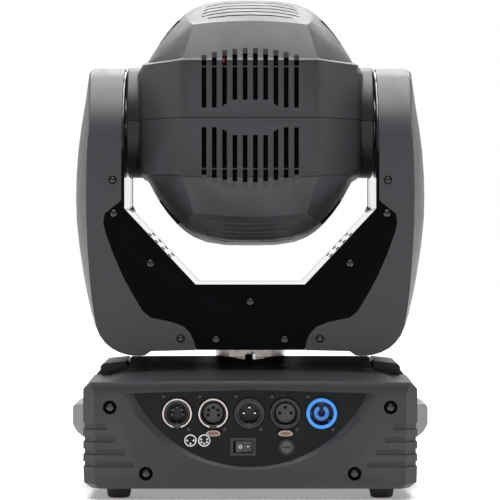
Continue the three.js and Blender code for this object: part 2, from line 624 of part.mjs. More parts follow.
// Head shell along Y from the tilt axis: height of the crown, then the corners of a quarter section as
// [x, height above the tilt axis]: edge of the louvred strip, foot of the corner facet, ledge and side.
const HEAD_STATIONS = [
  { y: -HEAD_BACK - 2, top: 45.6, strip: [53, 45.5], foot: [53.5, 45.5], ledge: [54, 45.4], side: [54, 40] },
  { y: -106, top: 46.9, strip: [53.6, 46.6], foot: [55, 46.3], ledge: [57.5, 45.3], side: [57.5, 40] },
  { y: -104.8, top: 47.5, strip: [53.4, 47.2], foot: [54.2, 47], ledge: [58.4, 45.2], side: [58.4, 40] },
  { y: -96, top: 62, strip: [49.6, 60.6], foot: [60.7, 46.6], ledge: [65.1, 44.8], side: [65.1, 39.4] },
  { y: -84, top: 78.4, strip: [45.6, 75.3], foot: [69.9, 46.1], ledge: [74.3, 44.4], side: [74.3, 38.8] },
  { y: -68, top: 85, strip: [48.8, 78.6], foot: [81.8, 45.7], ledge: [86.2, 43.8], side: [86.4, 38] },
  { y: -50, top: 91.3, strip: [52, 81.7], foot: [83.2, 47.4], ledge: [87.4, 45.3], side: [90.4, 38.2] },
  { y: -30, top: 97.5, strip: [55.2, 84.7], foot: [84, 48.7], ledge: [88.1, 46.6], side: [92.6, 38.4] },
  { y: 0, top: 102.2, strip: [58.6, 86.7], foot: [84.4, 49.5], ledge: [88.4, 47.3], side: [93.5, 38.4] },
  { y: 45, top: 99.5, strip: [57.6, 84], foot: [83.6, 48.6], ledge: [87.6, 46.4], side: [92.6, 38] },
  { y: 75, top: 94, strip: [54.5, 79], foot: [79.5, 46], ledge: [83.5, 44], side: [86.5, 36.4] },
];

// A quarter section from the crown round to the side: strip, corner facet, ledge, side. The shares say where
// the crown and the facet have points between their corners.
function headQuarter({ y, top, strip, foot, ledge, side }, crownShares, facetShares) {
  const squareness = THREE.MathUtils.mapLinear(THREE.MathUtils.clamp(y, -84, 0), -84, 0, 2, 3.6);
  const crown = crownShares.map((part) =>
    [part * strip[0], top - (top - strip[1]) * part ** squareness]);
  const bulge = 2 * Math.min(1, (y + HEAD_BACK + 2) / 79);
  const facet = facetShares.map((part) => {
    const out = 4 * bulge * part * (1 - part);
    return [0, 1].map((axis) => strip[axis] + (foot[axis] - strip[axis]) * part + out * [0.8, 0.6][axis]);
  });
  return [...crown, strip, ...facet, foot, ledge, side, [side[0], side[1] / 2], [side[0], 0]];
}

// Anticlockwise ring of [x, height] from its quarter.
function headRing(quarter) {
  const right = [...quarter, ...quarter.slice(0, -1).reverse().map(([x, z]) => [x, -z])];
  return [...right, ...right.slice(1, -1).reverse().map(([x, z]) => [-x, z])].reverse();
}

function headVolume(inset) {
  const shares = inset > 0 ? [[0, 0.6], [0.5]] : [[0, 0.35, 0.62, 0.8, 0.92], [1 / 3, 2 / 3]];
  const rings = HEAD_STATIONS.map((station) =>
    headRing(headQuarter(station, ...shares)).map(([x, z]) => [x, station.y, z]));
  const widest = rings[rings.length - 1];
  const blend = (share) => widest.map(([x, y, z]) => {
    const grow = FRONT_RADIUS / Math.hypot(x, z);
    return [x * (1 + (grow - 1) * share), y + (HEAD_FRONT - y) * share, z * (1 + (grow - 1) * share)];
  });
  rings.push(blend(0.5), blend(1));
  const count = widest.length;
  const last = (rings.length - 1) * count;
  const centre = rings.length * count;
  const caps = widest.flatMap((_, k) => {
    const next = (k + 1) % count;
    return [centre, next, k, centre + 1, last + k, last + next];
  });
  const scale = [1 - inset / 88, 1 - inset / HEAD_BACK, 1 - inset / 96];
  const points = [...rings.flat(), [0, HEAD_STATIONS[0].y, 0], [0, HEAD_FRONT, 0]]
    .map((point) => point.map((value, axis) => value * scale[axis]));
  return meshed(points, [...bands(rings.length, count), ...caps]).translate([0, 0, TILT_HEIGHT]);
}

// Both halves of the head in one: shell, collars, vents and the openings for hubs and bezel.
function headShell() {
  const inset = 2.6;
  const collars = [-1, 1].map((sign) => turnedX(
    [[0, 60], [COLLAR_RADIUS, 60], [COLLAR_RADIUS, COLLAR_END - 1.2], [COLLAR_RADIUS - 1.2, COLLAR_END],
      [0, COLLAR_END]].map(([r, x]) => [r, sign * x]), 0, TILT_HEIGHT, 40));
  const hollows = [-1, 1].map((sign) => turnedX(
    [[0, 50], [COLLAR_RADIUS - inset, 50], [COLLAR_RADIUS - inset, COLLAR_END - inset],
      [0, COLLAR_END - inset]].map(([r, x]) => [r, sign * x]), 0, TILT_HEIGHT, 20));
  const hubs = alongX(circle(0, TILT_HEIGHT, HUB_RADIUS + 0.9, 20), -110, 110);
  const mouth = alongY(circle(0, TILT_HEIGHT, FRONT_RADIUS - 3, 32), 100, HEAD_FRONT + 1);
  return cut(join(headVolume(0), ...collars), headVolume(inset), ...hollows, hubs, mouth);
}

// Back vents: columns of upright slots, the same above and below. Each row holds a column's near end at its
// inner and outer side and its far end, as distances from the tilt axis.
const SLOT_PITCH = 8.13;
const SLOT_HALF = 1.9;
const SLOT_ENDS = [
  [13.9, 13.9, 55.4], [13.9, 13.9, 54.7], [11.3, 8.7, 53.7], [7.7, 7.7, 52], [7.7, 7.7, 49.7],
];

function backSlots(up) {
  return SLOT_ENDS.flatMap(([inner, outer, far], column) => [-1, 1].map((sign) => {
    const x = SLOT_PITCH * (column + 0.5);
    const [near, wide] = [x - SLOT_HALF, x + SLOT_HALF];
    const outline = [[near, inner], [wide, outer], [wide, far], [near, far]];
    return alongY(outline.map(([a, b]) => [sign * a, TILT_HEIGHT + up * b]), -115, -92);
  }));
}

// Louvres across the sloping strip, and short ones on the upper corners.
function louvres(up) {
  const strip = [[-70, 34], [-60, 39.5], [-50, 39], [-40, 38], [-30, 36.5], [-20, 34.5]];
  const heights = ordered(TILT_HEIGHT + up * 74, TILT_HEIGHT + up * 110);
  return strip.map(([y, half]) => box(-half, half, y - 1.3, y + 1.3, ...heights));
}

function cornerVents(up) {
  const outline = [[64, 62], [84, 78], [72, 92], [52, 76]];
  return [-1, 1].flatMap((sign) => {
    const cutter = outline.map(([x, z]) => [sign * x, TILT_HEIGHT + up * z]);
    return [-14, 0, 14].map((y) => alongY(cutter, y - 1.5, y + 1.5));
  });
}

function headCover(up) {
  const keep = up > 0 ? [TILT_HEIGHT + 0.2, TILT_HEIGHT + 120] : [TILT_HEIGHT - 120, TILT_HEIGHT - 0.2];
  const shell = headShell().intersect(box(-110, 110, -120, 150, ...keep));
  return cut(shell, ...backSlots(up), ...louvres(up), ...cornerVents(up));
}

// Open tray that carries the optics between the two hubs.
function headChassis() {
  const [half, back, front, low, high] = [81.8, -56, 66, TILT_HEIGHT - 40, TILT_HEIGHT + 30];
  const tray = cut(box(-half, half, back, front, low, high),
    box(-half + 2.2, half - 2.2, back - 1, front + 1, low + 2, high + 1));
  return cut(tray, box(-52, 52, 0, 30, low - 1, low + 3), alongX(circle(0, TILT_HEIGHT, 14, 24), -90, 90));
}

const frontBezel = () => turnedY([[FRONT_RADIUS - 6, HEAD_FRONT + GAP], [FRONT_RADIUS, HEAD_FRONT + GAP],
  [FRONT_RADIUS, HEAD_FRONT + 24], [FRONT_RADIUS - 1.5, HEAD_FRONT + 26], [FRONT_RADIUS - 5, HEAD_FRONT + 26],
  [FRONT_RADIUS - 6, HEAD_FRONT + 24]], 0, TILT_HEIGHT, 36);

// Domed front lens, flat behind.
function frontLens() {
  const [edge, dome, steps] = [HEAD_FRONT + 13, 8, 4];
  const face = Array.from({ length: steps + 1 }, (_, i) => {
    const r = LENS_RADIUS * Math.cos((Math.PI / 2) * (i / steps));
    return [r, edge + dome * (1 - (r / LENS_RADIUS) ** 2)];
  });
  face[steps][0] = 0;
  return turnedY([[0, edge - 6], [LENS_RADIUS, edge - 6], ...face], 0, TILT_HEIGHT, 36);
}

// Lamp with its parabolic reflector, opening towards the lens.
function lampReflector() {
  const bowl = (grow) => Array.from({ length: 5 }, (_, i) => {
    const r = 5 + 20 * (i / 4);
    return [r + grow, -62 + (r * r) / 18];
  });
  const profile = [...bowl(0).reverse(), [5, -75], [7, -75], ...bowl(2)];
  const capsule = turnedY([[0, -80], [4.4, -80], [4.4, -44], [0, -41]], 0, TILT_HEIGHT, 8);
  const collar = turnedY([[0, -75], [7, -75], [7, -68], [0, -68]], 0, TILT_HEIGHT, 12);
  return join(turnedY(profile, 0, TILT_HEIGHT, 12), capsule, collar);
}

// Disc with a ring of round windows, centred off the optical axis so that a window lies on it.
function filterWheel(y, centre, radius, windows, windowRadius) {
  const disc = alongY(circle(0, centre, radius, 20), y, y + 1.5);
  const reach = Math.abs(centre - TILT_HEIGHT);
  const holes = Array.from({ length: windows }, (_, i) => {
    const angle = radians((centre < TILT_HEIGHT ? 90 : -90) + (360 * i) / windows);
    return alongY(circle(reach * Math.cos(angle), centre + reach * Math.sin(angle), windowRadius, 6),
      y - 1, y + 3);
  });
  return cut(disc, ...holes);
}

const focusLens = () => turnedY([[0, 48], [20, 49], [24, 49], [24, 56], [20, 56], [10, 59], [0, 60]],
  0, TILT_HEIGHT, 20);

// Axial fan under the top louvres: square frame and bladed rotor.
const FAN_Y = -44;

function fanFrame() {
  const frame = box(-30, 30, FAN_Y - 30, FAN_Y + 30, TILT_HEIGHT + 52, TILT_HEIGHT + 65);
  return cut(frame, alongZ(circle(0, FAN_Y, 28, 24), TILT_HEIGHT + 50, TILT_HEIGHT + 70));
}

function fanRotor() {
  const hub = alongZ(circle(0, FAN_Y, 10, 14), TILT_HEIGHT + 54, TILT_HEIGHT + 63);
  const blades = Array.from({ length: 7 }, (_, i) => {
    const blade = new THREE.BoxGeometry(19, 1.6, 8).rotateX(0.6).translate(17.4, 0, 0);
    blade.rotateZ((2 * Math.PI * i) / 7).translate(0, FAN_Y, TILT_HEIGHT + 58.5);
    return solid(blade);
  });
  return join(hub, ...blades);
}

part('head_upper_cover', COVER, headCover(1));
part('head_lower_cover', COVER, headCover(-1));
part('tilt_hub_left', ALUMINIUM, tiltHub(-1, 114, false));
part('tilt_hub_right', ALUMINIUM, tiltHub(1, 123, true));
part('head_chassis', STEEL, headChassis());
part('front_bezel', BLACK, frontBezel());
part('front_lens', GLASS, frontLens());
part('lamp_reflector', REFLECTOR, lampReflector());
part('colour_wheel', ALUMINIUM, filterWheel(8, TILT_HEIGHT - 33, 46, 9, 9.5));
part('gobo_wheel', STEEL, filterWheel(16, TILT_HEIGHT + 33, 46, 8, 10));
part('focus_lens', GLASS, focusLens());
part('cooling_fan_frame', BLACK, fanFrame());
part('cooling_fan_rotor', BLACK, fanRotor());

export default fixture;
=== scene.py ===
import json
import math

import bmesh
import bpy
from mathutils import Matrix, Vector


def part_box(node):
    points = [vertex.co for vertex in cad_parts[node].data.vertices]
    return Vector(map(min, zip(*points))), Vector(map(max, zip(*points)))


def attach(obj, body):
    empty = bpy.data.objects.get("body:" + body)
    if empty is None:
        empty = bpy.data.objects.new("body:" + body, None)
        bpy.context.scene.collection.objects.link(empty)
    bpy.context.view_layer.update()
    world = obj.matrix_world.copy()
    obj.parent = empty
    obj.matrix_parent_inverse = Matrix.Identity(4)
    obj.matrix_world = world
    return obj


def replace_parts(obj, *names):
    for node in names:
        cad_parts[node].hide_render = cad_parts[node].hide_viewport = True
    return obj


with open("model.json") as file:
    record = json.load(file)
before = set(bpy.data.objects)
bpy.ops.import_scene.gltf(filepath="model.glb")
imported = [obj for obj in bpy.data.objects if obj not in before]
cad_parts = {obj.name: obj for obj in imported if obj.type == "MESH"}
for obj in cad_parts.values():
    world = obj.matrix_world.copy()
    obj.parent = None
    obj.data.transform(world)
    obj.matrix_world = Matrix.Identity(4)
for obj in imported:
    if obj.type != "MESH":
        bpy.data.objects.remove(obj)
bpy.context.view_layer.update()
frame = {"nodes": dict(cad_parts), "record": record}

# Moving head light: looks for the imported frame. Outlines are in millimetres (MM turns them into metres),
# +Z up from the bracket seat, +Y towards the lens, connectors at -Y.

MM = 0.001
NODES = frame["nodes"]
SLOT_OF = {entry["node"]: entry["material_slot"] for entry in frame["record"]["subparts"]}


def middle(node):
    """Centre of a node's box, in millimetres."""
    low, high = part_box(node)
    return (low + high) / 2 / MM


def low_corner(node):
    """Lowest corner of a node's box, in millimetres."""
    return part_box(node)[0] / MM


def high_corner(node):
    """Highest corner of a node's box, in millimetres."""
    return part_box(node)[1] / MM


# ---------------------------------------------------------------- places, from the frame

TILT = middle("tilt_hub_left").z
PANEL_Y = low_corner("connector_panel").y
REAR_Y = low_corner("rear_end_cover").y
PLATE_Y = low_corner("yoke_rear_plate").y
FLOOR_Z = low_corner("foot_1").z
CONNECTORS = ["five_pin_male", "five_pin_female", "three_pin_male", "three_pin_female", "power_inlet"]

# ---------------------------------------------------------------- materials


def shader(name):
    """New material, its node tree and its principled shader."""
    material = bpy.data.materials.new(name)
    material.use_nodes = True
    tree = material.node_tree
    return material, tree, tree.nodes["Principled BSDF"]


def noise(tree, scale, detail=4.0, roughness=0.55, stretch=None):
    """Noise over object coordinates; scale is in features per metre."""
    place = tree.nodes.new("ShaderNodeTexCoord")
    texture = tree.nodes.new("ShaderNodeTexNoise")
    texture.inputs["Scale"].default_value = scale
    texture.inputs["Detail"].default_value = detail
    texture.inputs["Roughness"].default_value = roughness
    if stretch:
        mapping = tree.nodes.new("ShaderNodeMapping")
        mapping.inputs["Scale"].default_value = stretch
        tree.links.new(place.outputs["Object"], mapping.inputs["Vector"])
        tree.links.new(mapping.outputs["Vector"], texture.inputs["Vector"])
    else:
        tree.links.new(place.outputs["Object"], texture.inputs["Vector"])
    return texture.outputs["Fac"]


def spread(tree, fac, low, high, start=0.3, end=0.7):
    """Maps a value that runs from start to end onto the range from low to high."""
    node = tree.nodes.new("ShaderNodeMapRange")
    node.inputs["From Min"].default_value = start
    node.inputs["From Max"].default_value = end
    node.inputs["To Min"].default_value = low
    node.inputs["To Max"].default_value = high
    tree.links.new(fac, node.inputs["Value"])
    return node.outputs["Result"]


def mixed(tree, fac, first, second):
    """Colour between two colours or colour sockets."""
    node = tree.nodes.new("ShaderNodeMix")
    node.data_type = "RGBA"
    for value, socket in ((first, node.inputs[6]), (second, node.inputs[7])):
        if isinstance(value, bpy.types.NodeSocket):
            tree.links.new(value, socket)
        else:
            socket.default_value = (*value, 1)
    tree.links.new(fac, node.inputs[0])
    return node.outputs[2]


def bump(tree, shader_node, height, distance):
    """Fine relief on a shader's surface; distance in metres."""
    node = tree.nodes.new("ShaderNodeBump")
    node.inputs["Distance"].default_value = distance
    tree.links.new(height, node.inputs["Height"])
    tree.links.new(node.outputs["Normal"], shader_node.inputs["Normal"])


def scaled(colour, factor):
    """Lighter or darker version of a colour."""
    return tuple(min(1.0, c * factor) for c in colour)


def moulded(name, colour, rough, grain=1400, depth=0.00003, edge_wear_and_highlight=1.8, coat=0.0, gloss=0.3):
    """Moulded plastic or paint: spark-eroded grain, cloudy tone, scuffed, and lighter along its edges,
    partly as wear and partly as a painted highlight.
    """
    material, tree, surface = shader(name)
    cloud = noise(tree, 18, 5)
    speck = noise(tree, grain, 3, 0.6)
    tone = mixed(tree, spread(tree, cloud, 0, 1), scaled(colour, 0.90), scaled(colour, 1.10))
    tone = mixed(tree, spread(tree, speck, 0, 0.35), tone, scaled(colour, 1.35))
    # Sharp edges (high pointiness) get a lighter colour: partly edge wear, partly a painted highlight where
    # edges catch the light.
    geometry = tree.nodes.new("ShaderNodeNewGeometry")
    edge = spread(tree, geometry.outputs["Pointiness"], 0, 0.55, 0.505, 0.60)
    tone = mixed(tree, edge, tone, scaled(colour, edge_wear_and_highlight))
    tree.links.new(tone, surface.inputs["Base Color"])
    scuff = noise(tree, 60, 6, 0.7)
    tree.links.new(spread(tree, scuff, rough - 0.05, rough + 0.06), surface.inputs["Roughness"])
    surface.inputs["Coat Weight"].default_value = coat
    surface.inputs["Coat Roughness"].default_value = gloss
    bump(tree, surface, speck, depth)
    return material


def metallic(name, colour, rough, brush=None, grain=900):
    """Metal with fine brushing along one axis, or an even fine grain, and a few duller patches."""
    material, tree, surface = shader(name)
    surface.inputs["Metallic"].default_value = 1.0
    cloud = noise(tree, 25, 5)
    line = noise(tree, grain, 4, 0.6, stretch=brush)
    tone = mixed(tree, spread(tree, cloud, 0, 1), scaled(colour, 0.86), colour)
    tree.links.new(tone, surface.inputs["Base Color"])
    tree.links.new(spread(tree, line, rough * 0.8, rough * 1.3), surface.inputs["Roughness"])
    bump(tree, surface, line, 0.00001)
    return material


def dull(material, level):
    """Lowers the plain reflection of a matt finish."""
    material.node_tree.nodes["Principled BSDF"].inputs["Specular IOR Level"].default_value = level
    return material


def clear(name, tint):
    """Coated optical glass with a faint smear in its gloss."""
    material, tree, surface = shader(name)
    smear = noise(tree, 30, 5)
    tone = mixed(tree, spread(tree, smear, 0, 1), tint, scaled(tint, 0.96))
    tree.links.new(tone, surface.inputs["Base Color"])
    tree.links.new(spread(tree, smear, 0.02, 0.06), surface.inputs["Roughness"])
    surface.inputs["Transmission Weight"].default_value = 1.0
    surface.inputs["IOR"].default_value = 1.5
    surface.inputs["Coat Weight"].default_value = 0.3
    surface.inputs["Coat Tint"].default_value = (0.93, 0.91, 1.0, 1)
    return material


def printed_ink(name, colour):
    """Matt ink, slightly patchy."""
    material, tree, surface = shader(name)
    patch = noise(tree, 900, 3)
    tone = mixed(tree, spread(tree, patch, 0, 1), scaled(colour, 0.88), colour)
    tree.links.new(tone, surface.inputs["Base Color"])
    tree.links.new(spread(tree, patch, 0.5, 0.65), surface.inputs["Roughness"])
    return material


# The edge factor in these finishes sets how much lighter their edges are: partly wear, partly painted
# highlight.
COVER = dull(moulded("cover_plastic", (0.030, 0.030, 0.034), 0.42), 0.38)
BLACK = moulded("black_plastic", (0.012, 0.012, 0.013), 0.42, depth=0.00002, edge_wear_and_highlight=2.4)
INSERT = moulded("insert_plastic", (0.050, 0.053, 0.056), 0.55, depth=0.00001)
HANDLE = moulded("handle_plastic", (0.20, 0.187, 0.191), 0.45)
BLUE = moulded("blue_plastic", (0.045, 0.29, 0.88), 0.28, grain=600, depth=0.00001, edge_wear_and_highlight=1.3, coat=0.4)
DEEP_BLUE = moulded("deep_blue_plastic", (0.006, 0.035, 0.16), 0.35, grain=600, depth=0.00001)
PLATE = dull(moulded("black_paint", (0.0008, 0.0012, 0.0017), 0.55, grain=900, depth=0.00004, edge_wear_and_highlight=3.0),
             0.04)
PANEL = dull(moulded("panel_paint", (0.0034, 0.0052, 0.0062), 0.50, grain=1100, depth=0.00003, edge_wear_and_highlight=2.5),
             0.20)
SKIN = moulded("skin_paint", (0.030, 0.031, 0.034), 0.16, grain=900, depth=0.00001, coat=1.0, gloss=0.06)
RUBBER = moulded("foot_rubber", (0.014, 0.014, 0.014), 0.75, grain=500, depth=0.00006)
BOARD = moulded("board", (0.010, 0.075, 0.025), 0.35, grain=400)
# Near-black matt finish for the sheets, strips, plates and discs that stand in for the shade inside vents,
# seams and contact holes: painted shade.
SHADE_BLACK = dull(moulded("painted_shade_black", (0.0016, 0.0016, 0.0016), 0.9, grain=700, depth=0.0003), 0.05)
STEEL = metallic("sheet_steel", (0.42, 0.42, 0.43), 0.38, brush=(1, 14, 1))
PLATED = metallic("plated_metal", (0.78, 0.77, 0.78), 0.20)
ALUMINIUM = metallic("aluminium", (0.80, 0.80, 0.81), 0.26, brush=(1, 1, 18))
MIRROR = metallic("reflector", (0.90, 0.90, 0.92), 0.05, grain=200)
SCREW = metallic("blackened_steel", (0.085, 0.085, 0.092), 0.30)
HUB = metallic("hub_metal", (0.40, 0.36, 0.34), 0.20, grain=160)
PIN = metallic("contact_metal", (0.16, 0.14, 0.13), 0.42)
RING = metallic("ring_metal", (0.72, 0.62, 0.58), 0.24)
GLASS = clear("lens_glass", (0.93, 0.97, 0.98))
SCREEN = moulded("screen", (0.010, 0.030, 0.085), 0.10, grain=300, depth=0.0, edge_wear_and_highlight=1.0, coat=1.0)
WHITE_INK = printed_ink("white_print", (0.80, 0.80, 0.80))
RED_WIRE = moulded("red_wire", (0.20, 0.010, 0.008), 0.4)
GREEN_WIRE = moulded("green_wire", (0.008, 0.07, 0.025), 0.4)

FINISH = {
    "cover_plastic": COVER, "black_plastic": BLACK, "handle_plastic": HANDLE, "blue_plastic": BLUE,
    "board": BOARD, "black_paint": PLATE, "skin_paint": SKIN, "sheet_steel": STEEL, "plated_metal": PLATED,
    "aluminium": ALUMINIUM, "reflector": MIRROR, "lens_glass": GLASS, "screen": SCREEN,
    "foot_rubber": RUBBER,
}

# ---------------------------------------------------------------- surface finish of the meshes


def shading_group():
    """Geometry nodes: smooth shading, kept sharp where faces meet at more than the given angle."""
    group = bpy.data.node_groups.new("soft_shading", "GeometryNodeTree")
    face = group.interface
    face.new_socket("Geometry", in_out="INPUT", socket_type="NodeSocketGeometry")
    face.new_socket("Geometry", in_out="OUTPUT", socket_type="NodeSocketGeometry")
    add = group.nodes.new
    start, end = add("NodeGroupInput"), add("NodeGroupOutput")
    angle = add("GeometryNodeInputMeshEdgeAngle")
    compare = add("FunctionNodeCompare")
    compare.data_type = "FLOAT"
    compare.operation = "LESS_EQUAL"
    compare.inputs[1].default_value = math.radians(34)
    faces, edges = add("GeometryNodeSetShadeSmooth"), add("GeometryNodeSetShadeSmooth")
    faces.domain, edges.domain = "FACE", "EDGE"
    link = group.links.new
    link(angle.outputs["Unsigned Angle"], compare.inputs[0])
    link(start.outputs[0], faces.inputs["Geometry"])
    link(faces.outputs[0], edges.inputs["Geometry"])
    link(compare.outputs["Result"], edges.inputs["Shade Smooth"])
    link(edges.outputs[0], end.inputs[0])
    return group


SOFT = shading_group()


def soften(obj, width, weld=False):
    """Rounds an object's hard edges by real bevels, width in millimetres, and shades it smooth."""
    if weld:
        merge = obj.modifiers.new("merge", "WELD")
        merge.merge_threshold = 0.00002
        flatten = obj.modifiers.new("flatten", "DECIMATE")
        flatten.decimate_type = "DISSOLVE"
        flatten.angle_limit = math.radians(0.6)
    if width:
        round_edges = obj.modifiers.new("round_edges", "BEVEL")
        round_edges.width = width * MM
        round_edges.segments = 3
        round_edges.limit_method = "ANGLE"
        round_edges.angle_limit = math.radians(28)
        round_edges.use_clamp_overlap = True
    shade = obj.modifiers.new("shade", "NODES")
    shade.node_group = SOFT
    weight = obj.modifiers.new("weight_normals", "WEIGHTED_NORMAL")
    weight.keep_sharp = True
    return obj


def piece(name, mesh, body, material, bevel=0.0):
    """Adds a mesh made in millimetres as a piece that rides on a body."""
    mesh.transform(Matrix.Scale(MM, 4))
    obj = bpy.data.objects.new(name, mesh)
    bpy.context.scene.collection.objects.link(obj)
    mesh.materials.append(material)
    soften(obj, bevel)
    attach(obj, body)
    return obj


def finished(name, mesh_builder):
    """Turns a bmesh into a mesh with merged points and outward faces."""
    bmesh.ops.remove_doubles(mesh_builder, verts=mesh_builder.verts, dist=1e-5)
    bmesh.ops.recalc_face_normals(mesh_builder, faces=mesh_builder.faces)
    mesh = bpy.data.meshes.new(name)
    mesh_builder.to_mesh(mesh)
    mesh_builder.free()
    return mesh


def joined(name, meshes):
    """One mesh from several."""
    work = bmesh.new()
    for mesh in meshes:
        work.from_mesh(mesh)
        bpy.data.meshes.remove(mesh)
    result = bpy.data.meshes.new(name)
    work.to_mesh(result)
    work.free()
    return result


# ---------------------------------------------------------------- outlines and shapes, in millimetres


def circle(x, z, radius, sides=48, start=0.0, sweep=360.0):
    """Points round a circle, or along an arc when sweep is under a full turn."""
    full = abs(sweep) >= 360
    count = sides if full else sides + 1
    return [(x + radius * math.cos(math.radians(start + sweep * i / sides)),
             z + radius * math.sin(math.radians(start + sweep * i / sides))) for i in range(count)]


def rounded_box(x, z, width, height, radius):
    """Outline of a rectangle with rounded corners."""
    corners = [(1, 1, 0), (-1, 1, 90), (-1, -1, 180), (1, -1, 270)]
    wide, tall = width / 2 - radius, height / 2 - radius
    return [p for sx, sz, start in corners
            for p in circle(x + sx * wide, z + sz * tall, radius, 6, start, 90)]


def arc_band(x, z, inner, outer, start, sweep):
    """Outline of part of a ring."""
    sides = 64
    return circle(x, z, outer, sides, start, sweep) + circle(x, z, inner, sides, start, sweep)[::-1]


def prism(name, outline, low, high, axis="Y"):
    """Outline swept along an axis: (x, z) along Y, (y, z) along X, (x, y) along Z."""
    place = {
        "Y": lambda a, b, t: (a, t, b),
        "X": lambda a, b, t: (t, a, b),
        "Z": lambda a, b, t: (a, b, t),
    }[axis]
    work = bmesh.new()
    first = [work.verts.new(place(a, b, low)) for a, b in outline]
    second = [work.verts.new(place(a, b, high)) for a, b in outline]
    work.faces.new(first)
    work.faces.new(second[::-1])
    count = len(outline)
    for i in range(count):
        j = (i + 1) % count
        work.faces.new((first[j], first[i], second[i], second[j]))
    return finished(name, work)


def turned(name, profile, centre, axis="Y", sides=64):
    """Profile of (radius, distance) points turned about a line through centre along an axis."""
    cx, cy, cz = centre
    place = {
        "Y": lambda r, d, c, s: (cx + r * c, d, cz + r * s),
        "Z": lambda r, d, c, s: (cx + r * c, cy + r * s, d),
    }[axis]
    work = bmesh.new()
    rings = []
    for i in range(sides):
        angle = 2 * math.pi * i / sides
        rings.append([work.verts.new(place(r, d, math.cos(angle), math.sin(angle))) for r, d in profile])
    closed = profile[0][0] > 1e-6 or profile[-1][0] > 1e-6
    spans = len(profile) if closed else len(profile) - 1
    for i in range(sides):
        here, there = rings[i], rings[(i + 1) % sides]
        for k in range(spans):
            m = (k + 1) % len(profile)
            corners = [here[k], here[m], there[m], there[k]]
            if profile[k][0] <= 1e-6:
                corners = [here[k], here[m], there[m]]
            elif profile[m][0] <= 1e-6:
                corners = [here[k], here[m], there[k]]
            work.faces.new(corners)
    return finished(name, work)


def tube(name, points, radius):
    """Round wire through points, smoothed by a Catmull-Rom curve."""
    sides, steps = 12, 8
    fine = []
    pts = [Vector(p) for p in points]
    for i in range(len(pts) - 1):
        p0, p1, p2 = pts[max(i - 1, 0)], pts[i], pts[i + 1]
        p3 = pts[min(i + 2, len(pts) - 1)]
        for k in range(steps):
            t = k / steps
            fine.append(0.5 * (2 * p1 + (p2 - p0) * t + (2 * p0 - 5 * p1 + 4 * p2 - p3) * t * t
                               + (3 * p1 - p0 - 3 * p2 + p3) * t ** 3))
    fine.append(pts[-1])
    work = bmesh.new()
    rings = []
    for i, p in enumerate(fine):
        along = (fine[min(i + 1, len(fine) - 1)] - fine[max(i - 1, 0)]).normalized()
        side = along.orthogonal() if not rings else side - along * side.dot(along)
        side.normalize()
        up = along.cross(side)
        rings.append([work.verts.new(p + radius * (side * math.cos(a) + up * math.sin(a)))
                      for a in (2 * math.pi * k / sides for k in range(sides))])
    for a, b in zip(rings, rings[1:]):
        for k in range(sides):
            m = (k + 1) % sides
            work.faces.new((a[k], a[m], b[m], b[k]))
    work.faces.new(rings[0][::-1])
    work.faces.new(rings[-1])
    return finished(name, work)


def ribbon(name, path, section):
    """Section of (out, up) points carried along a path of (point, out direction) pairs, with end faces."""
    work = bmesh.new()
    rings = [[work.verts.new(Vector(p) + Vector(out) * a + Vector((0, 0, b))) for a, b in section]
             for p, out in path]
    count = len(section)
    for a, b in zip(rings, rings[1:]):
        for k in range(count):
            m = (k + 1) % count
            work.faces.new((a[k], a[m], b[m], b[k]))
    work.faces.new(rings[0][::-1])
    work.faces.new(rings[-1])
    return finished(name, work)


# ---------------------------------------------------------------- CAD nodes: materials and rounded edges

BEVELS = {
    "cover_plastic": 1.0, "handle_plastic": 2.2, "black_paint": 0.25, "skin_paint": 0.3, "foot_rubber": 0.8,
    "sheet_steel": 0.3, "black_plastic": 0.4, "aluminium": 0.4, "screen": 0.3, "plated_metal": 0.4,
}

SPECIAL_FINISH = {"connector_panel": PANEL, "control_panel": PANEL, "head_chassis": PLATE, "pan_hub": HUB}

for node, obj in NODES.items():
    slot_name = SLOT_OF[node]
    obj.data.materials.clear()
    obj.data.materials.append(SPECIAL_FINISH.get(node, FINISH[slot_name]))
    soften(obj, BEVELS.get(slot_name, 0.0), weld=True)

# ---------------------------------------------------------------- screws
# Screw places are (x, height above the feet).


def cross_radius(angle, half_width, reach):
    """Distance from the centre of a cross-shaped recess to its edge, at an angle."""
    c, s = abs(math.cos(angle)), abs(math.sin(angle))
    along = min(reach / max(c, 1e-6), half_width / max(s, 1e-6))
    across = min(reach / max(s, 1e-6), half_width / max(c, 1e-6))
    return max(along, across)


def screw_mesh(name, place, out, radius=2.6, height=1.3):
    """Pan head with a cross recess; place is the seat's centre and out its outward direction."""
    sides = 64
    head = [(radius, 0.0), (radius, height * 0.35), (radius * 0.88, height * 0.75), (radius * 0.66, height)]
    recess_rings = [(radius * 0.6, height), (radius * 0.5, height * 0.25)]
    rings = [(r, up, False) for r, up in head] + [(r, up, True) for r, up in recess_rings]
    work = bmesh.new()
    loops = []
    for r, up, recess in rings:
        loop = []
        for i in range(sides):
            angle = 2 * math.pi * (i + 0.5) / sides
            reach = cross_radius(angle, r * 0.24, r) if recess else r
            loop.append(work.verts.new((reach * math.cos(angle), reach * math.sin(angle), up)))
        loops.append(loop)
    for a, b in zip(loops, loops[1:]):
        for i in range(sides):
            j = (i + 1) % sides
            work.faces.new((a[i], a[j], b[j], b[i]))
    work.faces.new(loops[-1])
    work.faces.new(loops[0][::-1])
    turn = Vector(out).to_track_quat("Z", "Y").to_matrix().to_4x4()
    bmesh.ops.transform(work, matrix=Matrix.Translation(place) @ turn, verts=work.verts)
    return finished(name, work)


def add_screws(name, body, places, out, radius=2.6, height=1.3):
    """Group of screw heads at (x, y, z) places, all facing the same way."""
    heads = [screw_mesh(name, place, out, radius, height) for place in places]
    return piece(name, joined(name, heads), body, SCREW)


def both(x, *rest):
    """A place and its mirror image in x."""
    return [(x, *rest), (-x, *rest)]


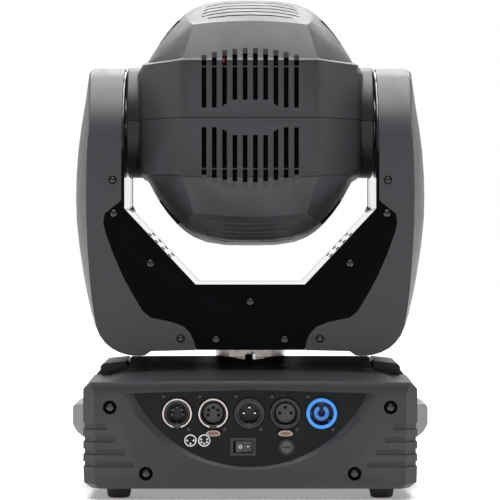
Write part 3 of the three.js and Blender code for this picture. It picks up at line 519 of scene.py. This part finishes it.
ARM_SCREWS = [p for x, h in ((55.9, 124.6), (110.6, 252.1)) for p in both(x, h + FLOOR_Z)]
PLATE_SCREWS = [p for x, h in ((109.8, 225.2), (80.1, 185.0), (27.5, 123.7)) for p in both(x, h + FLOOR_Z)]
PLATE_SCREWS.append((0.0, 154.2 + FLOOR_Z))
COVER_SCREWS = [(110.2, 72.7), (81.9, 20.7)]
WELL_DEPTH = 2.0
WELL_LINER = 5.38
for side, name in ((-1, "rear"), (1, "front")):
    out = (0, side, 0)
    face = side * abs(PLATE_Y)
    add_screws(f"{name}_arm_screws", "yoke", [(x, face, z) for x, z in ARM_SCREWS], out, 2.4)
    proud = face + side * 0.4
    washer = [(2.6, face), (3.3, face), (3.2, proud), (2.6, proud)]
    rings = [turned("ring", washer, (x, 0, z)) for x, z in ARM_SCREWS]
    piece(f"{name}_arm_screw_rings", joined(f"{name}_arm_screw_rings", rings), "yoke", PLATE)
    add_screws(f"{name}_plate_screws", "yoke", [(x, face, z) for x, z in PLATE_SCREWS], out, 3.0, 1.5)
    seat = side * (abs(REAR_Y) - WELL_DEPTH)
    wells = [p for x, h in COVER_SCREWS for p in both(x, seat, h + FLOOR_Z)]
    add_screws(f"{name}_cover_screws", "base", wells, out, 3.2, 1.6)
    # Near-black cups lining the screw wells of the end covers darken the recesses: painted shade.
    floor_y = seat + side * 0.02
    lip_y, skim_y = seat + side * 1.7, floor_y + side * 0.2
    cup = [(0, floor_y), (WELL_LINER, floor_y), (WELL_LINER, lip_y), (WELL_LINER - 0.3, lip_y),
           (WELL_LINER - 0.4, skim_y), (0, skim_y)]
    liners = [turned("liner", cup, (x, 0, z)) for x, _, z in wells]
    piece(f"{name}_well_shade_liners", joined(f"{name}_well_shade_liners", liners), "base", PLATE)

# ---------------------------------------------------------------- connectors on the rear panel

FLANGE = 12.2
CONTACT_RING = 4.4
SOCKET_DEPTH = 14
SHELL_END = -100.2


def socket_place(node):
    """Axis of a connector and the front of its flange: x, z, y."""
    centre = middle(node)
    return centre.x, centre.z, low_corner(node).y


def contact_places(node, angles, ring=CONTACT_RING):
    """Centres (x, z) set round a connector's axis at angles in degrees."""
    x, z, _ = socket_place(node)
    return [(x + ring * math.cos(math.radians(a)), z + ring * math.sin(math.radians(a))) for a in angles]


def connector_shell(node, ring_material, broken):
    """Outer ring, which may be broken at the bottom, round a black shell with a deep bore."""
    x, z, front = socket_place(node)
    if broken:
        gap = 28
        outline = arc_band(x, z, 10.3, 11.7, -90 + gap / 2, 360 - gap)
        ring_mesh = prism(f"{node}_ring", outline, front, front + 2.4)
    else:
        profile = [(10.1, front), (FLANGE - 0.15, front), (FLANGE - 0.15, front + 2.4), (10.1, front + 2.4)]
        ring_mesh = turned(f"{node}_ring", profile, (x, 0, z))
    ring = piece(f"{node}_ring", ring_mesh, "base", ring_material, 0.45)
    back = front + SOCKET_DEPTH
    shell = turned(f"{node}_shell", [
        (0, back), (9.3, back), (9.3, front + 0.9), (9.9, front + 0.5), (10.05, front + 1.0),
        (11.9, front + 1.2), (11.9, SHELL_END), (0, SHELL_END)], (x, 0, z))
    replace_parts(ring, node)
    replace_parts(piece(f"{node}_shell", shell, "base", BLACK), node)


def add_male(node, angles, ring_material, broken, pin_material):
    """Recessed contact pins, a keyway and an inner rim."""
    connector_shell(node, ring_material, broken)
    x, z, front = socket_place(node)
    back = front + SOCKET_DEPTH
    pin = [(0, front + 5.7), (0.75, front + 5.9), (1.15, front + 6.8), (1.15, back), (0, back)]
    pins = [turned("pin", pin, (px, 0, pz), sides=24) for px, pz in contact_places(node, angles)]
    piece(f"{node}_pins", joined(f"{node}_pins", pins), "base", pin_material)
    lip = [(8.6, front + 1.6), (9.25, front + 1.4), (9.25, front + 8), (8.6, front + 8)]
    rim = turned(f"{node}_rim", lip, (x, 0, z))
    piece(f"{node}_rim", rim, "base", INSERT, 0.15)
    key = prism(f"{node}_key", rounded_box(x, z - 8.3, 2.6, 1.6, 0.4), front + 2.0, front + 12)
    piece(f"{node}_key", key, "base", BLACK, 0.15)


def add_female(node, angles, ring_material, broken):
    """Round insert with contact holes drawn as flat black discs inside raised rims (painted shade), set
    inside the shell with a dark gap round it.
    """
    connector_shell(node, ring_material, broken)
    x, z, front = socket_place(node)
    back = front + SOCKET_DEPTH
    face = [(0, front + 5.35), (7.5, front + 5.35), (8.0, front + 5.8), (8.0, back), (0, back)]
    insert = turned(f"{node}_insert", face, (x, 0, z))
    piece(f"{node}_insert", insert, "base", INSERT)
    collar = [(0.95, front + 5.30), (1.45, front + 5.05), (1.45, front + 5.5), (0.95, front + 5.5)]
    holes = [turned("hole", collar, (hx, 0, hz), sides=24) for hx, hz in contact_places(node, angles)]
    piece(f"{node}_hole_rims", joined(f"{node}_hole_rims", holes), "base", BLACK)
    # Flat black discs flush with the insert face stand in for the shaded depth of the contact holes:
    # painted shade.
    disc = [(0, front + 5.28), (0.97, front + 5.28), (0.97, front + 5.6), (0, front + 5.6)]
    wells = [turned("well", disc, (hx, 0, hz), sides=24) for hx, hz in contact_places(node, angles)]
    piece(f"{node}_holes", joined(f"{node}_holes", wells), "base", SHADE_BLACK)


add_male("five_pin_male", (-14, 38, 90, 142, 194), RING, True, PIN)
add_female("five_pin_female", (-22, 34, 90, 146, 202), RING, True)
add_male("three_pin_male", (0, 90, 180), BLACK, False, PLATED)
add_female("three_pin_female", (0, 90, 180), BLACK, False)


def add_inlet(node):
    """Locking mains inlet: blue ring, dark blue bore, and a hollow blue core with a slot in its top."""
    x, z, front = socket_place(node)
    ring = turned(f"{node}_ring", [(9.4, front), (11.6, front), (12.15, front + 0.6), (12.15, front + 4),
                                   (9.4, front + 4)], (x, 0, z))
    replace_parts(piece(f"{node}_ring", ring, "base", BLUE, 0.35), node)
    back = front + SOCKET_DEPTH
    bore = turned(f"{node}_bore", [(0, back), (9.3, back), (9.3, front + 0.7), (12.0, front + 2),
                                   (12.0, SHELL_END), (0, SHELL_END)], (x, 0, z))
    piece(f"{node}_bore", bore, "base", DEEP_BLUE)
    core = prism(f"{node}_core", arc_band(x, z, 3.0, 6.1, 112, 316), front + 5.6, back)
    piece(f"{node}_core", core, "base", BLUE, 0.4)
    keys = [prism("key", rounded_box(kx, kz, 2.2, 2.2, 0.5), front + 0.9, front + 10)
            for kx, kz in contact_places(node, (90, 180, 315), 8.6)]
    piece(f"{node}_keys", joined(f"{node}_keys", keys), "base", DEEP_BLUE, 0.2)


add_inlet("power_inlet")

LATCH_FACE = moulded("latch_face", (0.15, 0.085, 0.065), 0.4, grain=2200)
LATCH_RIM = metallic("latch_metal", (0.38, 0.31, 0.28), 0.30)


def add_latch(node, body):
    """Release tab: warm plated rim round a brownish grey face, flattened ovals both."""
    centre, front = middle(node), low_corner(node).y
    low, high = low_corner(node), high_corner(node)
    width, height = high.x - low.x, high.z - low.z
    oval = [(centre.x + width / 2 * math.copysign(abs(math.cos(t)) ** 0.8, math.cos(t)),
             centre.z + height / 2 * math.copysign(abs(math.sin(t)) ** 0.8, math.sin(t)))
            for t in (2 * math.pi * i / 48 for i in range(48))]
    rim = prism(f"{node}_rim", oval, front, front + 6)
    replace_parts(piece(f"{node}_rim", rim, body, LATCH_RIM, 0.5), node)
    inner = [(centre.x + (x - centre.x) * 0.72, centre.z + (z - centre.z) * 0.62) for x, z in oval]
    face = prism(f"{node}_face", inner, front - 0.15, front + 1)
    piece(f"{node}_face", face, body, LATCH_FACE, 0.2)


add_latch("five_pin_latch_tab", "five_pin_latch")
add_latch("three_pin_latch_tab", "three_pin_latch")

CONNECTOR_SCREWS = [(x + dx, PANEL_Y, z + dz) for x, z, _ in map(socket_place, CONNECTORS)
                    for dx, dz in ((-10.5, 13.5), (9.0, -12.5))]
add_screws("connector_screws", "base", CONNECTOR_SCREWS, (0, -1, 0), 1.5, 0.8)

# ---------------------------------------------------------------- rocker, fuse and pin diagrams


def add_rocker():
    """Curved rocker with a ring and a dash moulded in white, and its right half pressed in."""
    centre = middle("power_rocker")
    pivot = (centre.x - 0.55, -120.6)
    tip = math.radians(11)
    half, ends, hollow = 6.5, -4.6, 1.15

    def face_at(a):
        """Depth of the hollow face at a distance a along the rocker."""
        return ends + hollow * (1 - (a / half) ** 2)

    def turn(a, b):
        """Tips a point of the rocker's profile about its pivot."""
        c, s = math.cos(tip), math.sin(tip)
        return (pivot[0] + a * c - b * s, pivot[1] + a * s + b * c)

    face = [(half * (i - 10) / 10, face_at(half * (i - 10) / 10)) for i in range(21)]
    profile = face + [(6.1, 1.5), (0, 5.0), (-6.1, 1.5)]
    mesh = prism("rocker", [turn(a, b) for a, b in profile], centre.z - 4.4, centre.z + 4.4, "Z")
    rocker = piece("rocker", mesh, "rocker", INSERT, 0.35)
    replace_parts(rocker, "power_rocker")

    def on_face(a, across):
        """Point of the printing, which stands a hair proud of the face."""
        x, y = turn(a, face_at(a) - 0.06)
        return (x, y, centre.z + across)

    work = bmesh.new()
    ring_at, sides = -2.9, 32
    turns = [2 * math.pi * i / sides for i in range(sides)]
    loops = [[work.verts.new(on_face(ring_at + r * math.cos(t), r * math.sin(t))) for t in turns]
             for r in (0.85, 1.45)]
    for i in range(sides):
        j = (i + 1) % sides
        work.faces.new((loops[0][i], loops[0][j], loops[1][j], loops[1][i]))
    dash = [(2.4 + 0.25 * i, z) for z in (-0.3, 0.3) for i in range(9)]
    verts = [work.verts.new(on_face(a, z)) for a, z in dash]
    for i in range(8):
        work.faces.new((verts[i], verts[i + 1], verts[i + 10], verts[i + 9]))
    piece("rocker_marks", finished("rocker_marks", work), "rocker", WHITE_INK)


add_rocker()


def add_fuse():
    """Slotted fuse cap with a knurled edge inside its round holder."""
    centre = middle("fuse_cap")
    front = low_corner("fuse_cap").y
    sides = 96
    profile = [(4.5, 0.0), (5.1, 0.5), (5.1, 14.4)]
    work = bmesh.new()
    rings = []
    knurl_depth, knurls = 0.12, 24
    for r, d in profile:
        ring = []
        for i in range(sides):
            angle = 2 * math.pi * i / sides
            knurl = knurl_depth * math.cos(knurls * angle) if r > 5 else 0.0
            reach = r - knurl_depth + knurl
            ring.append(work.verts.new((centre.x + reach * math.cos(angle), front + d,
                                        centre.z + reach * math.sin(angle))))
        rings.append(ring)
    for a, b in zip(rings, rings[1:]):
        for i in range(sides):
            j = (i + 1) % sides
            work.faces.new((a[i], a[j], b[j], b[i]))
    work.faces.new(rings[-1])
    slot_loop = []
    for i in range(sides):
        angle = 2 * math.pi * i / sides
        reach = min(3.6 / max(abs(math.cos(angle)), 1e-6), 0.55 / max(abs(math.sin(angle)), 1e-6))
        slot_loop.append((reach * math.cos(angle), reach * math.sin(angle)))
    inner = [[work.verts.new((centre.x + a, front + d, centre.z + b)) for a, b in slot_loop]
             for d in (0.0, 1.0)]
    for a, b in ((rings[0], inner[0]), (inner[0], inner[1])):
        for i in range(sides):
            j = (i + 1) % sides
            work.faces.new((a[i], a[j], b[j], b[i]))
    work.faces.new(inner[1])
    cap = piece("fuse_cap_knurled", finished("fuse_cap_knurled", work), "fuse_cap", INSERT)
    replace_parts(cap, "fuse_cap")


add_fuse()


def add_pin_diagrams():
    """Two small white drawings of the contact layouts, printed on the panel."""
    marks = []
    z = 46.5 + FLOOR_Z
    y = PANEL_Y - 0.05
    back = y + 0.04
    for x, angles in ((-47.0, (0, 90, 180)), (-36.2, (-22, 34, 90, 146, 202))):
        marks.append(turned("diagram", [(3.9, y), (4.8, y), (4.8, back), (3.9, back)], (x, 0, z)))
        for a in angles:
            dot = (x + 2.5 * math.cos(math.radians(a - 180)), 0, z + 2.5 * math.sin(math.radians(a - 180)))
            marks.append(turned("dot", [(0, y), (0.8, y), (0.8, back), (0, back)], dot, sides=20))
    piece("pin_diagrams", joined("pin_diagrams", marks), "base", WHITE_INK)


add_pin_diagrams()

# ---------------------------------------------------------------- head: ledges, black sheets of painted shade behind the vents, wires

LEDGE_Y = -109.0
LEDGE_Z = 45.4
LEDGE_HALF = 54.0
SLOPE = 1.27
SLOT_PITCH = 8.13
SLOT_X = [sign * SLOT_PITCH * (k + 0.5) for k in range(5) for sign in (-1, 1)]
SLOT_FAR = [55.4, 54.7, 53.7, 52.0, 49.7]
SLOT_HALF = 1.9


def add_ledges():
    """Narrow step where the back of the head meets its slopes, in stretches that stop at the vent slots."""
    stops = [-LEDGE_HALF]
    for x in sorted(SLOT_X):
        stops += [x - SLOT_HALF, x + SLOT_HALF]
    stops.append(LEDGE_HALF)
    for up, name in ((1, "head_upper_ledge"), (-1, "head_lower_ledge")):
        section = [(-0.8, -up * 1.2), (0.55, -up * 1.0), (0.55, up * 0.1), (-0.8, up * 0.9)]
        if up < 0:
            section = section[::-1]
        meshes = []
        for stretch in zip(stops[::2], stops[1::2]):
            path = [((x, LEDGE_Y, TILT + up * LEDGE_Z), Vector((x * 0.35, LEDGE_Y + 20, 0)).normalized())
                    for x in stretch]
            meshes.append(ribbon("ledge", path, section))
        piece(name, joined(name, meshes), "head", COVER)


add_ledges()


def add_shade_sheets():
    """Black sheets that stand in for the shade inside the head (painted shade), bars and slot ends behind
    the vents, and two wires in front of the sheets.
    """
    half = 43
    slope = [(-79.5, 72.5), (-92, 57.5), (-104.5, 43.5)]
    back = slope + [(-105, 0)] + [(y, -z) for y, z in slope[::-1]]
    thick = [(y + 1.0, z * 0.985) for y, z in back][::-1]
    # Black sheet behind the back vents, standing for the shade inside the head: painted shade.
    sheet = prism("back_shade_sheet", [(y, TILT + z) for y, z in back + thick], -half, half, "X")
    piece("back_shade_sheet", sheet, "head", SHADE_BLACK)
    # Strip inside the seam between the head covers: it blocks light as a rebate lip does, and its
    # near-black colour is painted shade in the gap.
    around = [(51, -105.2), (70.5, -81), (82.2, -65.5), (86, -48)]
    loop = [(-x, y) for x, y in around[::-1]] + around
    inward = [(x * 0.985, y + 0.8) for x, y in loop][::-1]
    seam = prism("seam_shade_strip", loop + inward, TILT - 4, TILT + 4, "Z")
    piece("seam_shade_strip", seam, "head", SHADE_BLACK)
    for up, name in ((1, "upper"), (-1, "lower")):
        # Black sheets under the vented top and bottom strips, standing for the shade inside the head:
        # painted shade.
        strip = [(-76, 73.5), (-28, 90.0), (-10, 93.0), (-10, 92.0), (-28, 89.0), (-76, 72.5)]
        mesh = prism(f"{name}_strip_shade_sheet", [(y, TILT + up * z) for y, z in strip], -40, 40, "X")
        piece(f"{name}_strip_shade_sheet", mesh, "head", SHADE_BLACK)
        # Black sheets behind the short corner vents, standing for the shade inside the head: painted shade.
        corner = [(54.8, 81.8), (79.6, 47.0), (78.6, 46.4), (53.8, 81.0)]
        backs = [prism("back", [(sign * x, TILT + up * z) for x, z in corner], -17, 17) for sign in (-1, 1)]
        shade_sheets = joined(f"{name}_corner_shade_sheets", backs)
        piece(f"{name}_corner_shade_sheets", shade_sheets, "head", SHADE_BLACK)
        section = [(-106.1, 39.9), (-105.2, 39.9), (-105.2, 41.2), (-106.1, 41.2)]
        bar = prism("bar", [(y, TILT + up * z) for y, z in section], -half, half, "X")
        ends = [bar]
        for k, far in enumerate(SLOT_FAR):
            surface = LEDGE_Y + (far - 45.5) / SLOPE
            wedge = [(surface + 0.3, far), (surface - 0.1, far - 4.4), (surface + 3.2, far)]
            outline = [(y, TILT + up * z) for y, z in wedge]
            for sign in (-1, 1):
                x = sign * SLOT_PITCH * (k + 0.5)
                ends.append(prism("end", outline, x - SLOT_HALF, x + SLOT_HALF, "X"))
        piece(f"{name}_slot_ends", joined(f"{name}_slot_ends", ends), "head", COVER)
    red = tube("red_wire", [(-18, -99, TILT + 34), (-20.5, -103.4, TILT + 39), (-21, -102.6, TILT + 46),
                            (-19, -97, TILT + 49)], 0.75)
    green = tube("green_wire", [(-25, -98, TILT + 30), (-28, -103.4, TILT + 36), (-28.5, -103.2, TILT + 41),
                                (-26, -98, TILT + 45)], 0.6)
    piece("red_wire", red, "head", RED_WIRE)
    piece("green_wire", green, "head", GREEN_WIRE)


add_shade_sheets()


def add_corner_shade_plates():
    """Flat black plates on the corner facets of the head, between its short vents, standing for the dark of
    the vent slits there: painted shade.
    """
    middle_edges = ((58.6, 86.7), (84.4, 49.5))
    stations = {-1: (((55.2, 84.7), (84.0, 48.7)), 30), 1: (((57.6, 84.0), (83.6, 48.6)), 45)}

    def corner(y, share, lift):
        """Point of the facet's section at y, a share of the way down it, raised by lift."""
        edges, reach = stations[-1 if y < 0 else 1]
        blend = abs(y) / reach
        crest, foot = [[m + (e - m) * blend for m, e in zip(*pair)] for pair in zip(middle_edges, edges)]
        bulge = 8 * share * (1 - share) + lift
        return (crest[0] + (foot[0] - crest[0]) * share + 0.8 * bulge,
                crest[1] + (foot[1] - crest[1]) * share + 0.6 * bulge)

    shares = (0.06, 1 / 3, 0.6)
    outline = [(share, 0.3) for share in shares] + [(share, -0.6) for share in shares[::-1]]
    for up, name in ((1, "upper"), (-1, "lower")):
        plates = []
        for sign in (-1, 1):
            for start, end in ((-27, -16.5), (-11.5, -2.5), (2.5, 11.5), (16.5, 27)):
                work = bmesh.new()
                rings = []
                for y in (start, end):
                    ring = [corner(y, share, lift) for share, lift in outline]
                    rings.append([work.verts.new((sign * x, y, TILT + up * z)) for x, z in ring])
                for k in range(6):
                    m = (k + 1) % 6
                    work.faces.new((rings[0][k], rings[0][m], rings[1][m], rings[1][k]))
                work.faces.new(rings[0][::-1])
                work.faces.new(rings[1])
                plates.append(finished("plate", work))
        # Near-black plates laid on the facets paint the shade of the corner vents.
        shade_plates = joined(f"{name}_corner_shade_plates", plates)
        piece(f"{name}_corner_shade_plates", shade_plates, "head", SHADE_BLACK)


add_corner_shade_plates()

# ---------------------------------------------------------------- lens end of the head


def add_lens_end():
    """Smooth bezel with a grip groove, and a domed lens."""
    low, high = low_corner("front_bezel"), high_corner("front_bezel")
    radius = (high.x - low.x) / 2
    inner = radius - 6
    bezel = turned("bezel", [
        (inner, low.y), (radius - 0.4, low.y), (radius, low.y + 0.8), (radius, low.y + 8.0),
        (radius - 1.0, low.y + 8.6), (radius - 1.0, low.y + 10.4), (radius, low.y + 11.0),
        (radius, high.y - 2.2), (radius - 0.7, high.y - 0.6), (radius - 2.2, high.y),
        (radius - 4.4, high.y), (radius - 5.6, high.y - 1.2), (inner, high.y - 3.0)],
        (0, 0, TILT), sides=128)
    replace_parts(piece("bezel", bezel, "head", BLACK), "front_bezel")
    lens_low, lens_high = low_corner("front_lens"), high_corner("front_lens")
    rim = (lens_high.x - lens_low.x) / 2
    steps, edge, rise = 16, 6, 8
    dome = [(rim * math.cos(t), lens_low.y + edge + rise * (1 - math.cos(t) ** 2))
            for t in (math.pi / 2 * i / steps for i in range(steps))]
    dome.append((0.0, lens_high.y))
    back = [(0.0, lens_low.y), (rim, lens_low.y)]
    lens = turned("domed_lens", back + dome, (0, 0, TILT), sides=128)
    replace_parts(piece("domed_lens", lens, "head", GLASS), "front_lens")


add_lens_end()


def add_skin_lip():
    """Turned edge of the skin that ramps up over the inner edge of the front plate."""
    corner, level = 229.6 + FLOOR_Z, 167.5 + FLOOR_Z
    side, floor_end, mitre = 102.1, 43.9, 0.42
    top = corner + 26
    far = abs(PLATE_Y)

    def edge(lift):
        """Skin's inner outline from one arm's top to the other's, raised by lift."""
        half = [(side - lift, top), (side - lift, corner + mitre * lift),
                (floor_end - mitre * lift, level + lift)]
        return half + [(-x, z) for x, z in half[::-1]]

    work = bmesh.new()
    rings = []
    for y, lift in ((far - 18, 0.05), (far, 0.65)):
        rings.append([work.verts.new((x, y, z)) for x, z in edge(0.0) + edge(lift)[::-1]])
    count = len(rings[0])
    for k in range(count):
        m = (k + 1) % count
        work.faces.new((rings[0][k], rings[0][m], rings[1][m], rings[1][k]))
    work.faces.new(rings[0][::-1])
    work.faces.new(rings[1])
    piece("skin_lip", finished("skin_lip", work), "yoke", SKIN)
    tab = [(101.4, corner + 3.2), (98.6, corner - 2.6), (101.4, corner + 0.4)]
    tabs = [prism("tab", [(sign * x, z) for x, z in tab], far - 1.5, far) for sign in (-1, 1)]
    piece("skin_tabs", joined("skin_tabs", tabs), "yoke", PLATE)


add_skin_lip()


def add_lock_pin():
    """Bright pin that stands up through the pan lock's slider."""
    top = high_corner("pan_lock_slider").z
    pin = turned("pan_lock_pin", [(0, top - 5), (1.5, top - 5), (1.5, top - 0.4), (1.1, top), (0, top)],
                 (3.2, -41.0, 0), "Z", 32)
    piece("pan_lock_pin", pin, "pan_lock", PLATED)


add_lock_pin()


def add_feet():
    """Turned rubber feet with a chamfered tread and a screw recess."""
    for i in range(1, 5):
        node = f"foot_{i}"
        low, high = low_corner(node), high_corner(node)
        radius = (high.x - low.x) / 2
        centre = (middle(node).x, middle(node).y, 0)
        mesh = turned(f"{node}_turned", [
            (0, low.z + 3), (3.2, low.z + 3), (3.2, low.z), (radius - 2.4, low.z),
            (radius - 1.2, low.z + 0.9), (radius, high.z - 0.8), (radius - 0.4, high.z), (0, high.z)],
            centre, "Z")
        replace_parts(piece(f"{node}_turned", mesh, "base", RUBBER, 0.3), node)


add_feet()

# ---------------------------------------------------------------- floor, lights and camera

GLOW_BEHIND = 0.14
GLOW_BEYOND = 0.95


def add_floor():
    """Plain pale floor with a faint mottling, which glows more with distance so that no horizon shows."""
    work = bmesh.new()
    bmesh.ops.create_circle(work, cap_ends=True, segments=96, radius=6)
    mesh = bpy.data.meshes.new("floor")
    work.to_mesh(mesh)
    work.free()
    floor = bpy.data.objects.new("floor", mesh)
    floor.location.z = FLOOR_Z * MM
    bpy.context.scene.collection.objects.link(floor)
    material, tree, surface = shader("floor_paint")
    mottle = noise(tree, 3, 4)
    tone = mixed(tree, mottle, (0.86, 0.86, 0.86), (0.90, 0.90, 0.90))
    tree.links.new(tone, surface.inputs["Base Color"])
    surface.inputs["Roughness"].default_value = 0.7
    surface.inputs["Emission Color"].default_value = (1, 1, 1, 1)
    place = tree.nodes.new("ShaderNodeTexCoord")
    reach = tree.nodes.new("ShaderNodeVectorMath")
    reach.operation = "LENGTH"
    tree.links.new(place.outputs["Object"], reach.inputs[0])
    glow = spread(tree, reach.outputs["Value"], 0.24, 0.75, 0.3, 1.8)
    tree.links.new(glow, surface.inputs["Emission Strength"])
    mesh.materials.append(material)


def add_light(name, place, target, size, power):
    """Soft rectangular white light that faces a target; lengths in metres, power in watts."""
    lamp = bpy.data.lights.new(name, "AREA")
    lamp.shape = "RECTANGLE"
    lamp.size, lamp.size_y = size
    lamp.energy = power
    obj = bpy.data.objects.new(name, lamp)
    obj.location = place
    obj.rotation_euler = (Vector(target) - Vector(place)).to_track_quat("-Z", "Y").to_euler()
    bpy.context.scene.collection.objects.link(obj)


def add_world():
    """White studio surroundings, seen plain white, that light more from the lens side than from behind."""
    world = bpy.data.worlds.new("studio")
    world.use_nodes = True
    tree = world.node_tree
    glow = tree.nodes["Background"]
    direction = tree.nodes.new("ShaderNodeTexCoord")
    split = tree.nodes.new("ShaderNodeSeparateXYZ")
    tree.links.new(direction.outputs["Generated"], split.inputs[0])
    light = spread(tree, split.outputs["Y"], GLOW_BEHIND, GLOW_BEYOND, -0.45, 0.9)
    ray = tree.nodes.new("ShaderNodeLightPath")
    tone = mixed(tree, ray.outputs["Is Camera Ray"], light, (1.0, 1.0, 1.0))
    tree.links.new(tone, glow.inputs["Color"])
    bpy.context.scene.world = world


def add_camera():
    """Long lens well behind the light, a little above its middle and tipped slightly down."""
    camera = bpy.data.cameras.new("camera")
    camera.lens = 183.7
    camera.sensor_width = 36
    camera.clip_end = 20
    obj = bpy.data.objects.new("camera", camera)
    obj.location = (-0.0002, -2.128, 0.2077)
    obj.rotation_euler = (math.radians(90 - 0.54), 0, 0)
    bpy.context.scene.collection.objects.link(obj)
    bpy.context.scene.camera = obj


add_floor()
add_world()
add_camera()
add_light("overhead", (0, 0.15, 1.5), (0, 0, 0.2), (1.6, 1.0), 30)
add_light("near_top", (0, -0.6, 1.6), (0, 0, 0.15), (1.4, 0.7), 14)
add_light("beyond_top", (0, 1.6, 1.5), (0, 0, 0.3), (1.6, 0.9), 20)
bpy.context.scene.view_settings.view_transform = "Standard"
